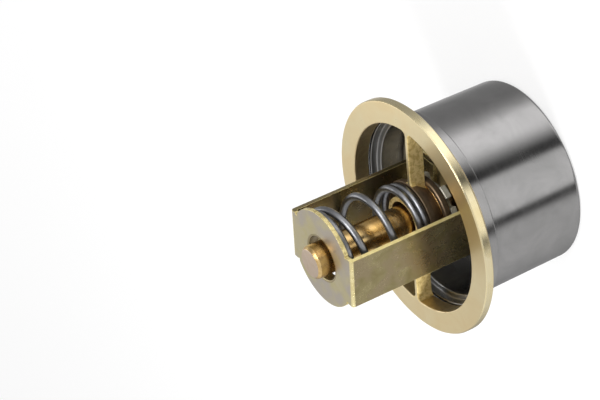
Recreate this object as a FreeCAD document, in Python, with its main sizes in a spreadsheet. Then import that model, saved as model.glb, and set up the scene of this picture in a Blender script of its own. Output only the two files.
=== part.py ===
import FreeCAD, Part
import Sketcher
import math
import os
from FreeCAD import Vector

# Engine thermostat with a sleeve valve. All lengths are in millimetres.
# The valve's axis is Z. The sleeve's rear end stands on Z = 0 and the stirrup points up.
# The bridge of the flange runs nearly along Y, and the stirrup's arms stand at both ends of X.

SIZES = [
    ("sleeve_height", 32.0, "sleeve, from its rear end to the face of its lip"),
    ("sleeve_wall", 1.1, "sheet of the sleeve"),
    ("sleeve_step", 1.8, "how much narrower the sleeve is behind its lip"),
    ("sleeve_taper", 0.3, "how much narrower the sleeve is at its rear end"),
    ("sleeve_rear_round", 1.3, "outer rounding of the rear edge"),
    ("mouth_inset", 2.4, "how far the rear edge is turned in"),
    ("lip_cover", 0.9, "how far the sleeve's widened lip stands out past the flange's bore"),
    ("lip_height", 3.2, "height of the widened lip"),
    ("lip_round", 0.35, "rounding of the lip's edges"),
    ("bore_radius", 27.0, "bore of the flange"),
    ("bore_chamfer", 0.4, "chamfer of the bore's front edge"),
    ("seal_land", 0.5, "wall between the bore and the seal's groove"),
    ("seal_width", 1.3, "width of the seal's groove"),
    ("seal_groove_depth", 1.2, "depth of the seal's groove in the collar"),
    ("seal_stand", 0.6, "how far the seal stands out of its groove"),
    ("seal_clearance", 0.05, "seal in its groove, on each side"),
    ("collar_wall", 1.0, "wall of the collar outside the seal's groove"),
    ("collar_depth", 2.0, "depth of the collar behind the rim"),
    ("rim_width", 3.7, "width of the rim beyond the collar"),
    ("rim_thickness", 2.7, "thickness of the rim that the housing clamps"),
    ("rim_chamfer", 0.4, "chamfer of the rim's edges"),
    ("bridge_turn", 3.0, "degrees by which the bridge is turned from the stirrup's cross direction"),
    ("bridge_thickness", 1.3, "thickness of the bridge's two spokes"),
    ("bridge_flare", 1.2, "rounding where a spoke meets the ring"),
    ("hub_margin", 0.1, "hub's front beyond the spring's lowest turn"),
    ("hub_rim_depth", 1.4, "straight part of the hub's side"),
    ("hub_back_wall", 3.3, "wall of the hub at its back"),
    ("hub_seat_rise", 0.2, "spring's seat above the flange's front face"),
    ("hub_root_round", 0.9, "rounding between the spokes and the hub"),
    ("boss_wall", 1.3, "wall of the boss inside the spring"),
    ("boss_rise", 2.5, "end of the boss above the flange's front face"),
    ("capsule_radius", 4.65, "wax capsule"),
    ("capsule_clearance", 1.05, "capsule in the hub's bore"),
    ("capsule_proud", 3.7, "capsule's end beyond the end plate"),
    ("capsule_chamfer", 0.7, "edge of the capsule's end"),
    ("capsule_collar_radius", 8.8, "collar at the capsule's rear end"),
    ("capsule_collar_thickness", 0.8, "thickness of that collar"),
    ("guide_wall", 1.35, "crimped wall of the element's guide round that collar"),
    ("guide_floor", 1.2, "guide behind the capsule's collar"),
    ("guide_shoulder_radius", 7.2, "shoulder of the guide"),
    ("guide_shoulder_length", 2.0, "length of the shoulder"),
    ("guide_nose_radius", 4.3, "nose of the guide"),
    ("guide_nose_length", 2.1, "length of the nose"),
    ("guide_edge_round", 0.6, "rounding of the guide's rim"),
    ("element_fit", 0.05, "capsule's collar in the guide"),
    ("piston_radius", 2.25, "piston of the element"),
    ("piston_length", 22.2, "whole length of the piston"),
    ("piston_clearance", 0.05, "piston in the guide"),
    ("piston_end_room", 0.4, "space above the piston when the valve is shut"),
    ("piston_chamfer", 0.4, "ends of the piston"),
    ("nose_gap", 1.1, "space between the guide's nose and the piston's seat"),
    ("crossbar_width", 16.0, "width of the crossbar"),
    ("crossbar_sheet", 1.6, "sheet of the crossbar"),
    ("crossbar_tab", 10.0, "length of the tabs bent down along the sleeve's wall"),
    ("crossbar_clearance", 0.05, "crossbar in the sleeve"),
    ("seat_head_radius", 4.4, "head of the piston's seat"),
    ("seat_head_height", 2.0, "height of that head above the crossbar"),
    ("seat_cup_depth", 1.6, "depth of the cup that takes the piston"),
    ("seat_shank_radius", 2.9, "shank of the seat through the crossbar"),
    ("seat_tail_radius", 3.7, "riveted tail of the seat"),
    ("seat_tail_height", 0.8, "height of that tail"),
    ("stirrup_reach", 28.6, "end plate's outer face above the flange's front face"),
    ("stirrup_width", 15.0, "width of the arms"),
    ("stirrup_sheet", 1.2, "sheet of the stirrup"),
    ("stirrup_bend", 0.3, "inner radius of the stirrup's bends"),
    ("stirrup_corner", 0.8, "outer radius of the stirrup's bends"),
    ("end_disc_radius", 13.8, "rounded sides of the end plate"),
    ("end_hole_clearance", 1.55, "hole of the end plate round the capsule"),
    ("end_collar_wall", 1.0, "wall of the collar drawn inwards round that hole"),
    ("end_collar_depth", 1.8, "depth of that collar below the end plate"),
    ("relief_radius", 0.45, "relief notch beside each bend"),
    ("foot_margin", 2.9, "foot beyond the middle of its rivet"),
    ("rivet_gap", 0.1, "space between a rivet's head and the stirrup's bend"),
    ("rivet_radius", 1.5, "shank of a rivet"),
    ("rivet_head_radius", 2.2, "head of a rivet"),
    ("rivet_head_height", 1.0, "height of a rivet's head"),
    ("rivet_head_round", 0.6, "rounding of a rivet's head"),
    ("rivet_clearance", 0.05, "rivets and the piston's seat in their holes"),
    ("wire_radius", 1.05, "wire of the spring"),
    ("spring_small_radius", 9.65, "mean radius of the spring on the hub"),
    ("spring_large_radius", 11.75, "mean radius of the spring under the end plate"),
    ("spring_side_gap", 0.2, "space between the spring's widest turns and the arms"),
    ("spring_lower_gap", 0.05, "space between the spring's two lowest turns"),
    ("spring_lean", 0.75, "how unevenly an open turn rises, from 0 for even to 1"),
    ("spring_seat_gap", 0.02, "play between the spring and its two seats"),
]

# Turns of the spring, counted upwards from where the wire first passes the angle SPRING_ZERO.
SPRING_ZERO = math.radians(-90.0)
SPRING_FIRST_TURN = -0.75
SPRING_LIFT_TURN = 0.0
SPRING_WIDEN_TURN = 0.6
SPRING_OPEN_TURN = 1.2
SPRING_EVEN_TURN = 2.2
SPRING_WIDE_TURN = 2.6
SPRING_TOP_TURN = 3.3
SPRING_LAST_TURN = 4.25
SPRING_EASE = 0.3
SPRING_RUNS_PER_TURN = 12


class Size:
    """A number together with the expression that works it out from the sheet."""

    def __init__(self, value, text):
        self.value = value
        self.text = text

    def __add__(self, other):
        other = as_size(other)
        return Size(self.value + other.value, f"({self.text} + {other.text})")

    def __sub__(self, other):
        other = as_size(other)
        return Size(self.value - other.value, f"({self.text} - {other.text})")

    def __mul__(self, other):
        other = as_size(other)
        return Size(self.value * other.value, f"({self.text} * {other.text})")

    def __truediv__(self, other):
        other = as_size(other)
        return Size(self.value / other.value, f"({self.text} / {other.text})")

    def __neg__(self):
        return Size(-self.value, f"(0 - {self.text})")


def as_size(item):
    """A plain number becomes a Size, and a Size stays as it is."""
    if isinstance(item, Size):
        return item
    return Size(float(item), str(float(item)))


doc = FreeCAD.newDocument("Thermostat")
sheet = doc.addObject("Spreadsheet::Sheet", "Sizes")
for row, (alias, value, note) in enumerate(SIZES, start=1):
    sheet.set(f"A{row}", note)
    sheet.set(f"B{row}", str(value))
    sheet.setAlias(f"B{row}", alias)
doc.recompute()

S = {alias: Size(float(sheet.get(alias)), f"Sizes.{alias}") for alias, value, note in SIZES}
ZERO = as_size(0)
SAME = 1e-3

# Heights that several pieces share.
LIP_FACE = S["sleeve_height"]
LIP_BACK = LIP_FACE - S["lip_height"]
COLLAR_BACK = LIP_FACE + S["seal_stand"]
RIM_BACK = COLLAR_BACK + S["collar_depth"]
FRONT = RIM_BACK + S["rim_thickness"]
SPRING_SEAT = FRONT + S["hub_seat_rise"]
BOSS_END = FRONT + S["boss_rise"]
PLATE_TOP = FRONT + S["stirrup_reach"]
PLATE_UNDERSIDE = PLATE_TOP - S["stirrup_sheet"]
CAPSULE_END = PLATE_TOP + S["capsule_proud"]
CAPSULE_BACK = COLLAR_BACK - S["capsule_collar_thickness"]
GUIDE_FLOOR = CAPSULE_BACK - S["guide_floor"]
GUIDE_SHOULDER = GUIDE_FLOOR - S["guide_shoulder_length"]
GUIDE_NOSE = GUIDE_SHOULDER - S["guide_nose_length"]
SEAT_TOP = GUIDE_NOSE - S["nose_gap"]
CROSSBAR_TOP = SEAT_TOP - S["seat_head_height"]
CROSSBAR_BOTTOM = CROSSBAR_TOP - S["crossbar_sheet"]
FOOT_TOP = CROSSBAR_TOP + S["stirrup_sheet"]
PISTON_FOOT = SEAT_TOP - S["seat_cup_depth"]
PISTON_TOP = PISTON_FOOT + S["piston_length"]

# Radii and distances from the axis that several pieces share.
BORE = S["bore_radius"]
GROOVE_INNER = BORE + S["seal_land"]
GROOVE_OUTER = GROOVE_INNER + S["seal_width"]
COLLAR_RADIUS = GROOVE_OUTER + S["collar_wall"]
FLANGE_RADIUS = COLLAR_RADIUS + S["rim_width"]
LIP_RADIUS = BORE + S["lip_cover"]
SLEEVE_FRONT = LIP_RADIUS - S["sleeve_step"]
SLEEVE_REAR = SLEEVE_FRONT - S["sleeve_taper"]
MOUTH_RADIUS = SLEEVE_REAR - S["mouth_inset"]
HUB_RADIUS = S["spring_small_radius"] + S["wire_radius"] + S["hub_margin"]
HUB_BORE = S["capsule_radius"] + S["capsule_clearance"]
BOSS_RADIUS = HUB_BORE + S["boss_wall"]
GUIDE_POCKET = S["capsule_collar_radius"] + S["element_fit"]
GUIDE_RADIUS = GUIDE_POCKET + S["guide_wall"]
PISTON_HOLE = S["piston_radius"] + S["piston_clearance"]
ARM_INSIDE = S["spring_large_radius"] + S["wire_radius"] + S["spring_side_gap"]
ARM_OUTSIDE = ARM_INSIDE + S["stirrup_sheet"]
RIVET_PLACE = ARM_INSIDE - S["stirrup_bend"] - S["rivet_gap"] - S["rivet_head_radius"]
RIVET_HOLE = S["rivet_radius"] + S["rivet_clearance"]


# The bridge's own direction, turned from Y.
BRIDGE_ROTATION = FreeCAD.Rotation(Vector(0, 0, 1), S["bridge_turn"].value)
BRIDGE_SIDE = BRIDGE_ROTATION.multVec(Vector(1, 0, 0))


def bind(item, name, size):
    """Tie one property of an object to the sheet."""
    item.setExpression(name, as_size(size).text)


def new_body(name):
    """An empty body whose label names the sub-part."""
    body = doc.addObject("PartDesign::Body", name)
    body.Label = name
    return body


def new_sketch(body, name, role, height=None):
    """A sketch on one of the body's own planes, lifted by height where one is given."""
    sketch = body.newObject("Sketcher::SketchObject", name)
    plane = next(p for p in body.Origin.OriginFeatures if p.Role == role)
    sketch.AttachmentSupport = [(plane, "")]
    sketch.MapMode = "FlatFace"
    if height is not None:
        bind(sketch, "AttachmentOffset.Base.z", height)
    return sketch


def fix_point(sketch, geometry, end, x, y):
    """Hold one end of a sketch line at x, y from the sketch's origin."""
    for kind, size in (("DistanceX", x), ("DistanceY", y)):
        size = as_size(size)
        number = sketch.addConstraint(Sketcher.Constraint(kind, -1, 1, geometry, end, size.value))
        sketch.setExpression(f"Constraints[{number}]", size.text)


def draw_outline(sketch, points):
    """A closed outline of straight lines through points, each held by its own two sizes."""
    spots = [Vector(as_size(x).value, as_size(y).value, 0) for x, y in points]
    first = sketch.GeometryCount
    count = len(spots)
    for i in range(count):
        sketch.addGeometry(Part.LineSegment(spots[i], spots[(i + 1) % count]), False)
    for i in range(count):
        sketch.addConstraint(Sketcher.Constraint("Coincident", first + i, 2, first + (i + 1) % count, 1))
    for i, (x, y) in enumerate(points):
        fix_point(sketch, first + i, 1, x, y)


def draw_circle(sketch, x, y, radius):
    """A circle held by its centre and radius."""
    x, y, radius = as_size(x), as_size(y), as_size(radius)
    spot = Vector(x.value, y.value, 0)
    number = sketch.addGeometry(Part.Circle(spot, Vector(0, 0, 1), radius.value), False)
    fix_point(sketch, number, 3, x, y)
    held = sketch.addConstraint(Sketcher.Constraint("Radius", number, radius.value))
    sketch.setExpression(f"Constraints[{held}]", radius.text)


def turned(body, name, points, kind="PartDesign::Revolution"):
    """Turn a profile of radius and height points round the Z axis."""
    sketch = new_sketch(body, name + "_profile", "XZ_Plane")
    draw_outline(sketch, points)
    feature = body.newObject(kind, name)
    feature.Profile = sketch
    feature.ReferenceAxis = (sketch, ["V_Axis"])
    feature.Angle = 360.0
    doc.recompute()
    return feature


def padded(body, name, sketch, length, midplane=False):
    """Raise a sketch to a solid."""
    feature = body.newObject("PartDesign::Pad", name)
    feature.Profile = sketch
    bind(feature, "Length", length)
    feature.Midplane = midplane
    doc.recompute()
    return feature


def pocketed(body, name, sketch):
    """Cut a sketch through everything, both ways."""
    feature = body.newObject("PartDesign::Pocket", name)
    feature.Profile = sketch
    feature.Type = 1
    feature.Midplane = True
    doc.recompute()
    return feature


def circle_edges(feature, radius, height):
    """Names of the full circles of a shape with this radius at this height."""
    names = []
    for number, edge in enumerate(feature.Shape.Edges, start=1):
        curve = edge.Curve
        if not isinstance(curve, Part.Circle):
            continue
        if abs(curve.Radius - radius.value) < SAME and abs(curve.Center.z - height.value) < SAME:
            names.append(f"Edge{number}")
    return names


def cross_edges(feature, x, height):
    """Names of the straight edges along Y at this distance from the axis and height."""
    names = []
    for number, edge in enumerate(feature.Shape.Edges, start=1):
        if not isinstance(edge.Curve, Part.Line) or abs(edge.Curve.Direction.y) < 1 - SAME:
            continue
        spot = edge.CenterOfMass
        if abs(abs(spot.x) - x.value) < SAME and abs(spot.z - height.value) < SAME:
            names.append(f"Edge{number}")
    return names


def root_edges(feature):
    """Names of the edges where the spokes' sides run into the hub."""
    half, reach = S["bridge_thickness"].value / 2, HUB_RADIUS.value + SAME
    names = []
    for number, edge in enumerate(feature.Shape.Edges, start=1):
        spots = [edge.valueAt(edge.FirstParameter), edge.valueAt(edge.LastParameter), edge.CenterOfMass]
        on_side = all(abs(abs(spot.dot(BRIDGE_SIDE)) - half) < SAME for spot in spots)
        box = edge.BoundBox
        upright = box.ZLength > max(box.YLength, SAME)
        inside = max(abs(box.YMin), abs(box.YMax)) < reach
        if on_side and upright and inside:
            names.append(f"Edge{number}")
    return names


def dressed(body, name, kind, feature, edges, size):
    """A fillet or a chamfer on named edges of a feature."""
    result = body.newObject("PartDesign::" + kind, name)
    result.Base = (feature, edges)
    bind(result, "Radius" if kind == "Fillet" else "Size", size)
    doc.recompute()
    return result


def make_flange():
    """Ring, bridge, hub and boss as one casting."""
    body = new_body("flange_casting")
    ring = turned(body, "ring", [
        (BORE, COLLAR_BACK),
        (COLLAR_RADIUS, COLLAR_BACK),
        (COLLAR_RADIUS, RIM_BACK),
        (FLANGE_RADIUS, RIM_BACK),
        (FLANGE_RADIUS, FRONT),
        (BORE, FRONT),
    ])
    edges = circle_edges(ring, FLANGE_RADIUS, FRONT) + circle_edges(ring, FLANGE_RADIUS, RIM_BACK)
    dressed(body, "rim_edges", "Chamfer", ring, edges, S["rim_chamfer"])
    ring_edges = circle_edges(body.Tip, BORE, FRONT)
    dressed(body, "bore_edge", "Chamfer", body.Tip, ring_edges, S["bore_chamfer"])

    sketch = new_sketch(body, "bridge_plan", "XY_Plane", COLLAR_BACK)
    sketch.AttachmentOffset = FreeCAD.Placement(Vector(0, 0, COLLAR_BACK.value), BRIDGE_ROTATION)
    bind(sketch, "AttachmentOffset.Base.z", COLLAR_BACK)
    bind(sketch, "AttachmentOffset.Rotation.Angle", S["bridge_turn"])
    draw_bridge(sketch)
    padded(body, "bridge", sketch, FRONT - COLLAR_BACK)

    turned(body, "hub", [
        (ZERO, COLLAR_BACK),
        (HUB_BORE + S["hub_back_wall"], COLLAR_BACK),
        (HUB_RADIUS, FRONT - S["hub_rim_depth"]),
        (HUB_RADIUS, SPRING_SEAT),
        (BOSS_RADIUS, SPRING_SEAT),
        (BOSS_RADIUS, BOSS_END),
        (ZERO, BOSS_END),
    ])
    roots = root_edges(body.Tip)
    dressed(body, "hub_roots", "Fillet", body.Tip, roots, S["hub_root_round"])
    sketch = new_sketch(body, "hub_bore_plan", "XY_Plane", BOSS_END)
    draw_circle(sketch, ZERO, ZERO, HUB_BORE)
    pocketed(body, "hub_bore", sketch)

    groove_top = COLLAR_BACK + S["seal_groove_depth"]
    turned(body, "seal_groove", [
        (GROOVE_INNER, COLLAR_BACK),
        (GROOVE_OUTER, COLLAR_BACK),
        (GROOVE_OUTER, groove_top),
        (GROOVE_INNER, groove_top),
    ], "PartDesign::Groove")
    return body


def draw_bridge(sketch):
    """Plan of the bridge: two straight sides that flare into the ring at both ends."""
    half = S["bridge_thickness"] / 2
    flare = S["bridge_flare"]
    end = GROOVE_INNER
    wide = half + flare
    start = BORE - flare - S["bore_chamfer"]
    top = start + flare
    corners = [
        (half, -start), (half, start), (wide, top), (wide, end),
        (-wide, end), (-wide, top), (-half, start), (-half, -start),
        (-wide, -top), (-wide, -end), (wide, -end), (wide, -top),
    ]
    arcs = {
        1: (wide, start, 90.0, 180.0), 5: (-wide, start, 0.0, 90.0),
        7: (-wide, -start, 270.0, 360.0), 11: (wide, -start, 180.0, 270.0),
    }
    first = sketch.GeometryCount
    count = len(corners)
    ends = []
    for i, (x, y) in enumerate(corners):
        following = corners[(i + 1) % count]
        if i in arcs:
            centre_x, centre_y, begin, finish = arcs[i]
            circle = Part.Circle(Vector(centre_x.value, centre_y.value, 0), Vector(0, 0, 1), flare.value)
            arc = Part.ArcOfCircle(circle, math.radians(begin), math.radians(finish))
            sketch.addGeometry(arc, False)
            at_start = arc.StartPoint.distanceToPoint(Vector(x.value, y.value, 0)) < 1e-6
            ends.append((1, 2) if at_start else (2, 1))
        else:
            here = Vector(x.value, y.value, 0)
            there = Vector(following[0].value, following[1].value, 0)
            sketch.addGeometry(Part.LineSegment(here, there), False)
            ends.append((1, 2))
    for i in range(count):
        j = (i + 1) % count
        joined = Sketcher.Constraint("Coincident", first + i, ends[i][1], first + j, ends[j][0])
        sketch.addConstraint(joined)
    for i, (x, y) in enumerate(corners):
        fix_point(sketch, first + i, ends[i][0], x, y)
    for i in arcs:
        held = sketch.addConstraint(Sketcher.Constraint("Radius", first + i, flare.value))
        sketch.setExpression(f"Constraints[{held}]", flare.text)


def make_seal():
    """Rubber ring in the collar's groove, on which the sleeve's lip shuts."""
    body = new_body("seat_seal")
    inner = GROOVE_INNER + S["seal_clearance"]
    outer = GROOVE_OUTER - S["seal_clearance"]
    top = COLLAR_BACK + S["seal_groove_depth"]
    turned(body, "seal", [(inner, LIP_FACE), (outer, LIP_FACE), (outer, top), (inner, top)])
    return body


def make_sleeve():
    """Drawn sleeve with a widened lip in front and its rear edge turned in."""
    body = new_body("sleeve")
    wall = S["sleeve_wall"]
    lip_inside = LIP_RADIUS - wall
    shell = turned(body, "shell", [
        (MOUTH_RADIUS, ZERO),
        (SLEEVE_REAR, ZERO),
        (SLEEVE_FRONT, LIP_BACK),
        (LIP_RADIUS, LIP_BACK),
        (LIP_RADIUS, LIP_FACE),
        (lip_inside, LIP_FACE),
        (lip_inside, LIP_BACK + wall),
        (SLEEVE_FRONT - wall, LIP_BACK + wall),
        (SLEEVE_REAR - wall, wall),
        (MOUTH_RADIUS, wall),
    ])
    edges = circle_edges(shell, SLEEVE_REAR, ZERO)
    dressed(body, "rear_round", "Fillet", shell, edges, S["sleeve_rear_round"])
    edges = circle_edges(body.Tip, LIP_RADIUS, LIP_BACK)
    edges += circle_edges(body.Tip, LIP_RADIUS, LIP_FACE)
    edges += circle_edges(body.Tip, lip_inside, LIP_FACE)
    dressed(body, "lip_rounds", "Fillet", body.Tip, edges, S["lip_round"])
    return body


def make_capsule():
    """Copper cup of the wax element, solid but for the hole that the piston enters."""
    body = new_body("wax_capsule")
    radius, chamfer = S["capsule_radius"], S["capsule_chamfer"]
    hole_end = PISTON_TOP + S["piston_end_room"]
    turned(body, "cup", [
        (PISTON_HOLE, CAPSULE_BACK),
        (S["capsule_collar_radius"], CAPSULE_BACK),
        (S["capsule_collar_radius"], COLLAR_BACK),
        (radius, COLLAR_BACK),
        (radius, CAPSULE_END - chamfer),
        (radius - chamfer, CAPSULE_END),
        (ZERO, CAPSULE_END),
        (ZERO, hole_end),
        (PISTON_HOLE, hole_end),
    ])
    return body


def make_guide():
    """Brass guide, crimped round the capsule's collar, with a nose for the piston."""
    body = new_body("element_guide")
    rim = turned(body, "guide", [
        (PISTON_HOLE, GUIDE_NOSE),
        (S["guide_nose_radius"], GUIDE_NOSE),
        (S["guide_nose_radius"], GUIDE_SHOULDER),
        (S["guide_shoulder_radius"], GUIDE_SHOULDER),
        (S["guide_shoulder_radius"], GUIDE_FLOOR),
        (GUIDE_RADIUS, GUIDE_FLOOR),
        (GUIDE_RADIUS, COLLAR_BACK),
        (GUIDE_POCKET, COLLAR_BACK),
        (GUIDE_POCKET, CAPSULE_BACK),
        (PISTON_HOLE, CAPSULE_BACK),
    ])
    edges = circle_edges(rim, GUIDE_RADIUS, GUIDE_FLOOR) + circle_edges(rim, GUIDE_RADIUS, COLLAR_BACK)
    dressed(body, "guide_rounds", "Fillet", rim, edges, S["guide_edge_round"])
    return body


def make_piston():
    """Steel pin between the wax and the piston's seat."""
    body = new_body("piston")
    radius, chamfer = S["piston_radius"], S["piston_chamfer"]
    turned(body, "pin", [
        (ZERO, PISTON_FOOT),
        (radius - chamfer, PISTON_FOOT),
        (radius, PISTON_FOOT + chamfer),
        (radius, PISTON_TOP - chamfer),
        (radius - chamfer, PISTON_TOP),
        (ZERO, PISTON_TOP),
    ])
    return body


def make_piston_seat():
    """Turned cup riveted in the middle of the crossbar."""
    body = new_body("piston_seat")
    tail_end = CROSSBAR_BOTTOM - S["seat_tail_height"]
    turned(body, "seat", [
        (ZERO, tail_end),
        (S["seat_tail_radius"], tail_end),
        (S["seat_tail_radius"], CROSSBAR_BOTTOM),
        (S["seat_shank_radius"], CROSSBAR_BOTTOM),
        (S["seat_shank_radius"], CROSSBAR_TOP),
        (S["seat_head_radius"], CROSSBAR_TOP),
        (S["seat_head_radius"], SEAT_TOP),
        (PISTON_HOLE, SEAT_TOP),
        (PISTON_HOLE, PISTON_FOOT),
        (ZERO, PISTON_FOOT),
    ])
    return body


def make_stirrup():
    """One folded sheet: end plate, two arms and two feet."""
    body = new_body("stirrup")
    sheet_metal = S["stirrup_sheet"]
    foot_end = RIVET_PLACE - S["foot_margin"]
    sketch = new_sketch(body, "strap_profile", "XZ_Plane")
    draw_outline(sketch, [
        (ARM_OUTSIDE, CROSSBAR_TOP),
        (ARM_OUTSIDE, PLATE_TOP),
        (-ARM_OUTSIDE, PLATE_TOP),
        (-ARM_OUTSIDE, CROSSBAR_TOP),
        (-foot_end, CROSSBAR_TOP),
        (-foot_end, FOOT_TOP),
        (-ARM_INSIDE, FOOT_TOP),
        (-ARM_INSIDE, PLATE_UNDERSIDE),
        (ARM_INSIDE, PLATE_UNDERSIDE),
        (ARM_INSIDE, FOOT_TOP),
        (foot_end, FOOT_TOP),
        (foot_end, CROSSBAR_TOP),
    ])
    strap = padded(body, "strap", sketch, S["stirrup_width"], midplane=True)
    edges = cross_edges(strap, ARM_INSIDE, PLATE_UNDERSIDE) + cross_edges(strap, ARM_INSIDE, FOOT_TOP)
    dressed(body, "inner_bends", "Fillet", strap, edges, S["stirrup_bend"])
    edges = cross_edges(body.Tip, ARM_OUTSIDE, PLATE_TOP) + cross_edges(body.Tip, ARM_OUTSIDE, CROSSBAR_TOP)
    dressed(body, "outer_bends", "Fillet", body.Tip, edges, S["stirrup_corner"])

    sketch = new_sketch(body, "end_disc_plan", "XY_Plane", PLATE_UNDERSIDE)
    draw_end_disc(sketch)
    padded(body, "end_disc", sketch, sheet_metal)

    hole_radius = S["capsule_radius"] + S["end_hole_clearance"]
    collar_radius = hole_radius + S["end_collar_wall"]
    collar_end = PLATE_UNDERSIDE - S["end_collar_depth"]
    collar_root = PLATE_UNDERSIDE + sheet_metal / 2
    turned(body, "end_collar", [
        (ZERO, collar_end),
        (collar_radius, collar_end),
        (collar_radius, collar_root),
        (ZERO, collar_root),
    ])
    sketch = new_sketch(body, "end_hole_plan", "XY_Plane", PLATE_TOP)
    draw_circle(sketch, ZERO, ZERO, hole_radius)
    hole = body.newObject("PartDesign::Pocket", "end_hole")
    hole.Profile = sketch
    bind(hole, "Length", sheet_metal + S["end_collar_depth"])
    doc.recompute()

    sketch = new_sketch(body, "relief_plan", "XY_Plane", PLATE_TOP)
    draw_reliefs(sketch)
    relief = body.newObject("PartDesign::Pocket", "relief_notches")
    relief.Profile = sketch
    bind(relief, "Length", sheet_metal)
    doc.recompute()

    sketch = new_sketch(body, "rivet_hole_plan", "XY_Plane", FOOT_TOP)
    for side in (1, -1):
        draw_circle(sketch, RIVET_PLACE * side, ZERO, RIVET_HOLE)
    holes = body.newObject("PartDesign::Pocket", "rivet_holes")
    holes.Profile = sketch
    bind(holes, "Length", sheet_metal)
    doc.recompute()
    return body


def draw_end_disc(sketch):
    """Two arcs of one circle, joined by straight lines at the arms' width."""
    radius, half = S["end_disc_radius"], S["stirrup_width"] / 2
    angle = math.asin(half.value / radius.value)
    circle = Part.Circle(Vector(0, 0, 0), Vector(0, 0, 1), radius.value)
    upper = Part.ArcOfCircle(circle, angle, math.pi - angle)
    lower = Part.ArcOfCircle(circle, math.pi + angle, 2 * math.pi - angle)
    left = Part.LineSegment(upper.EndPoint, lower.StartPoint)
    right = Part.LineSegment(lower.EndPoint, upper.StartPoint)
    for part in (upper, left, lower, right):
        sketch.addGeometry(part, False)
    for i in range(4):
        sketch.addConstraint(Sketcher.Constraint("Coincident", i, 2, (i + 1) % 4, 1))
    for i in (0, 2):
        sketch.addConstraint(Sketcher.Constraint("Coincident", i, 3, -1, 1))
        held = sketch.addConstraint(Sketcher.Constraint("Radius", i, radius.value))
        sketch.setExpression(f"Constraints[{held}]", radius.text)
    for i, end, size in ((0, 1, half), (0, 2, half), (2, 1, -half), (2, 2, -half)):
        held = sketch.addConstraint(Sketcher.Constraint("DistanceY", -1, 1, i, end, size.value))
        sketch.setExpression(f"Constraints[{held}]", size.text)


def draw_reliefs(sketch):
    """Four round notches where the end plate's round sides meet the arms' edges."""
    half = S["stirrup_width"] / 2
    across = half_chord(S["end_disc_radius"], half)
    for side_x in (1, -1):
        for side_y in (1, -1):
            draw_circle(sketch, across * side_x, half * side_y, S["relief_radius"])


def half_chord(radius, offset):
    """Half the length of the chord that a circle has at this distance from its centre."""
    value = math.sqrt(radius.value ** 2 - offset.value ** 2)
    return Size(value, f"sqrt({radius.text} ^ 2 - {offset.text} ^ 2)")


def make_rivet(name, side):
    """One rivet through a foot of the stirrup and the crossbar."""
    body = new_body(name)
    shank, head, height = S["rivet_radius"], S["rivet_head_radius"], S["rivet_head_height"]
    rivet = turned(body, name + "_turned", [
        (ZERO, CROSSBAR_BOTTOM - height),
        (head, CROSSBAR_BOTTOM - height),
        (head, CROSSBAR_BOTTOM),
        (shank, CROSSBAR_BOTTOM),
        (shank, FOOT_TOP),
        (head, FOOT_TOP),
        (head, FOOT_TOP + height),
        (ZERO, FOOT_TOP + height),
    ])
    edges = circle_edges(rivet, head, FOOT_TOP + height)
    edges += circle_edges(rivet, head, CROSSBAR_BOTTOM - height)
    dressed(body, name + "_heads", "Fillet", rivet, edges, S["rivet_head_round"])
    bind(body, "Placement.Base.x", RIVET_PLACE * side)
    return body


def make_box(name, size_x, size_y, size_z, base):
    """A block whose middle in X and Y is on the axis and whose underside is at base."""
    box = doc.addObject("Part::Box", name)
    bind(box, "Length", size_x)
    bind(box, "Width", size_y)
    bind(box, "Height", size_z)
    bind(box, "Placement.Base.x", -(size_x / 2))
    bind(box, "Placement.Base.y", -(size_y / 2))
    bind(box, "Placement.Base.z", base)
    return box


def make_cylinder(name, radius, height, base, x=ZERO):
    """An upright cylinder."""
    cylinder = doc.addObject("Part::Cylinder", name)
    bind(cylinder, "Radius", radius)
    bind(cylinder, "Height", height)
    bind(cylinder, "Placement.Base.x", x)
    bind(cylinder, "Placement.Base.z", base)
    return cylinder


def combine(kind, name, base, tool):
    """A boolean of two objects."""
    result = doc.addObject("Part::" + kind, name)
    result.Base = base
    result.Tool = tool
    doc.recompute()
    return result


def make_crossbar():
    """Pressed strip across the sleeve, its end tabs bent down along the wall."""
    gauge, width = S["crossbar_sheet"], S["crossbar_width"]
    tab_base = CROSSBAR_TOP - S["crossbar_tab"]
    wall_there = SLEEVE_REAR + S["sleeve_taper"] * tab_base / LIP_BACK - S["sleeve_wall"]
    fit = wall_there - S["crossbar_clearance"]
    across = fit * 2 + gauge
    strip_block = make_box("strip_block", across, width, gauge, CROSSBAR_BOTTOM)
    strip_round = make_cylinder("strip_round", fit, gauge, CROSSBAR_BOTTOM)
    strip = combine("Common", "strip", strip_block, strip_round)
    tab_outer = make_cylinder("tab_outer", fit, S["crossbar_tab"], tab_base)
    tab_inner = make_cylinder("tab_inner", fit - gauge, S["crossbar_tab"], tab_base)
    tab_ring = combine("Cut", "tab_ring", tab_outer, tab_inner)
    tab_block = make_box("tab_block", across, width, S["crossbar_tab"], tab_base)
    tabs = combine("Common", "tabs", tab_ring, tab_block)
    bar = combine("Fuse", "bent_bar", strip, tabs)
    seat_hole = make_cylinder("seat_hole", S["seat_shank_radius"] + S["rivet_clearance"], gauge, CROSSBAR_BOTTOM)
    bar = combine("Cut", "bar_with_seat_hole", bar, seat_hole)
    for side, name in ((1, "right"), (-1, "left")):
        hole = make_cylinder(name + "_bar_hole", RIVET_HOLE, gauge, CROSSBAR_BOTTOM, RIVET_PLACE * side)
        bar = combine("Cut", "bar_with_" + name + "_hole", bar, hole)
    bar.Label = "crossbar"
    return bar


def smooth_step(value):
    """0 below 0, 1 above 1 and a smooth rise between."""
    value = min(max(value, 0.0), 1.0)
    return value * value * (3.0 - 2.0 * value)


def past(turn, mark):
    """0 before a marked turn and 1 after it, with a smooth change about the mark."""
    return smooth_step((turn - mark) / SPRING_EASE + 0.5)


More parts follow.
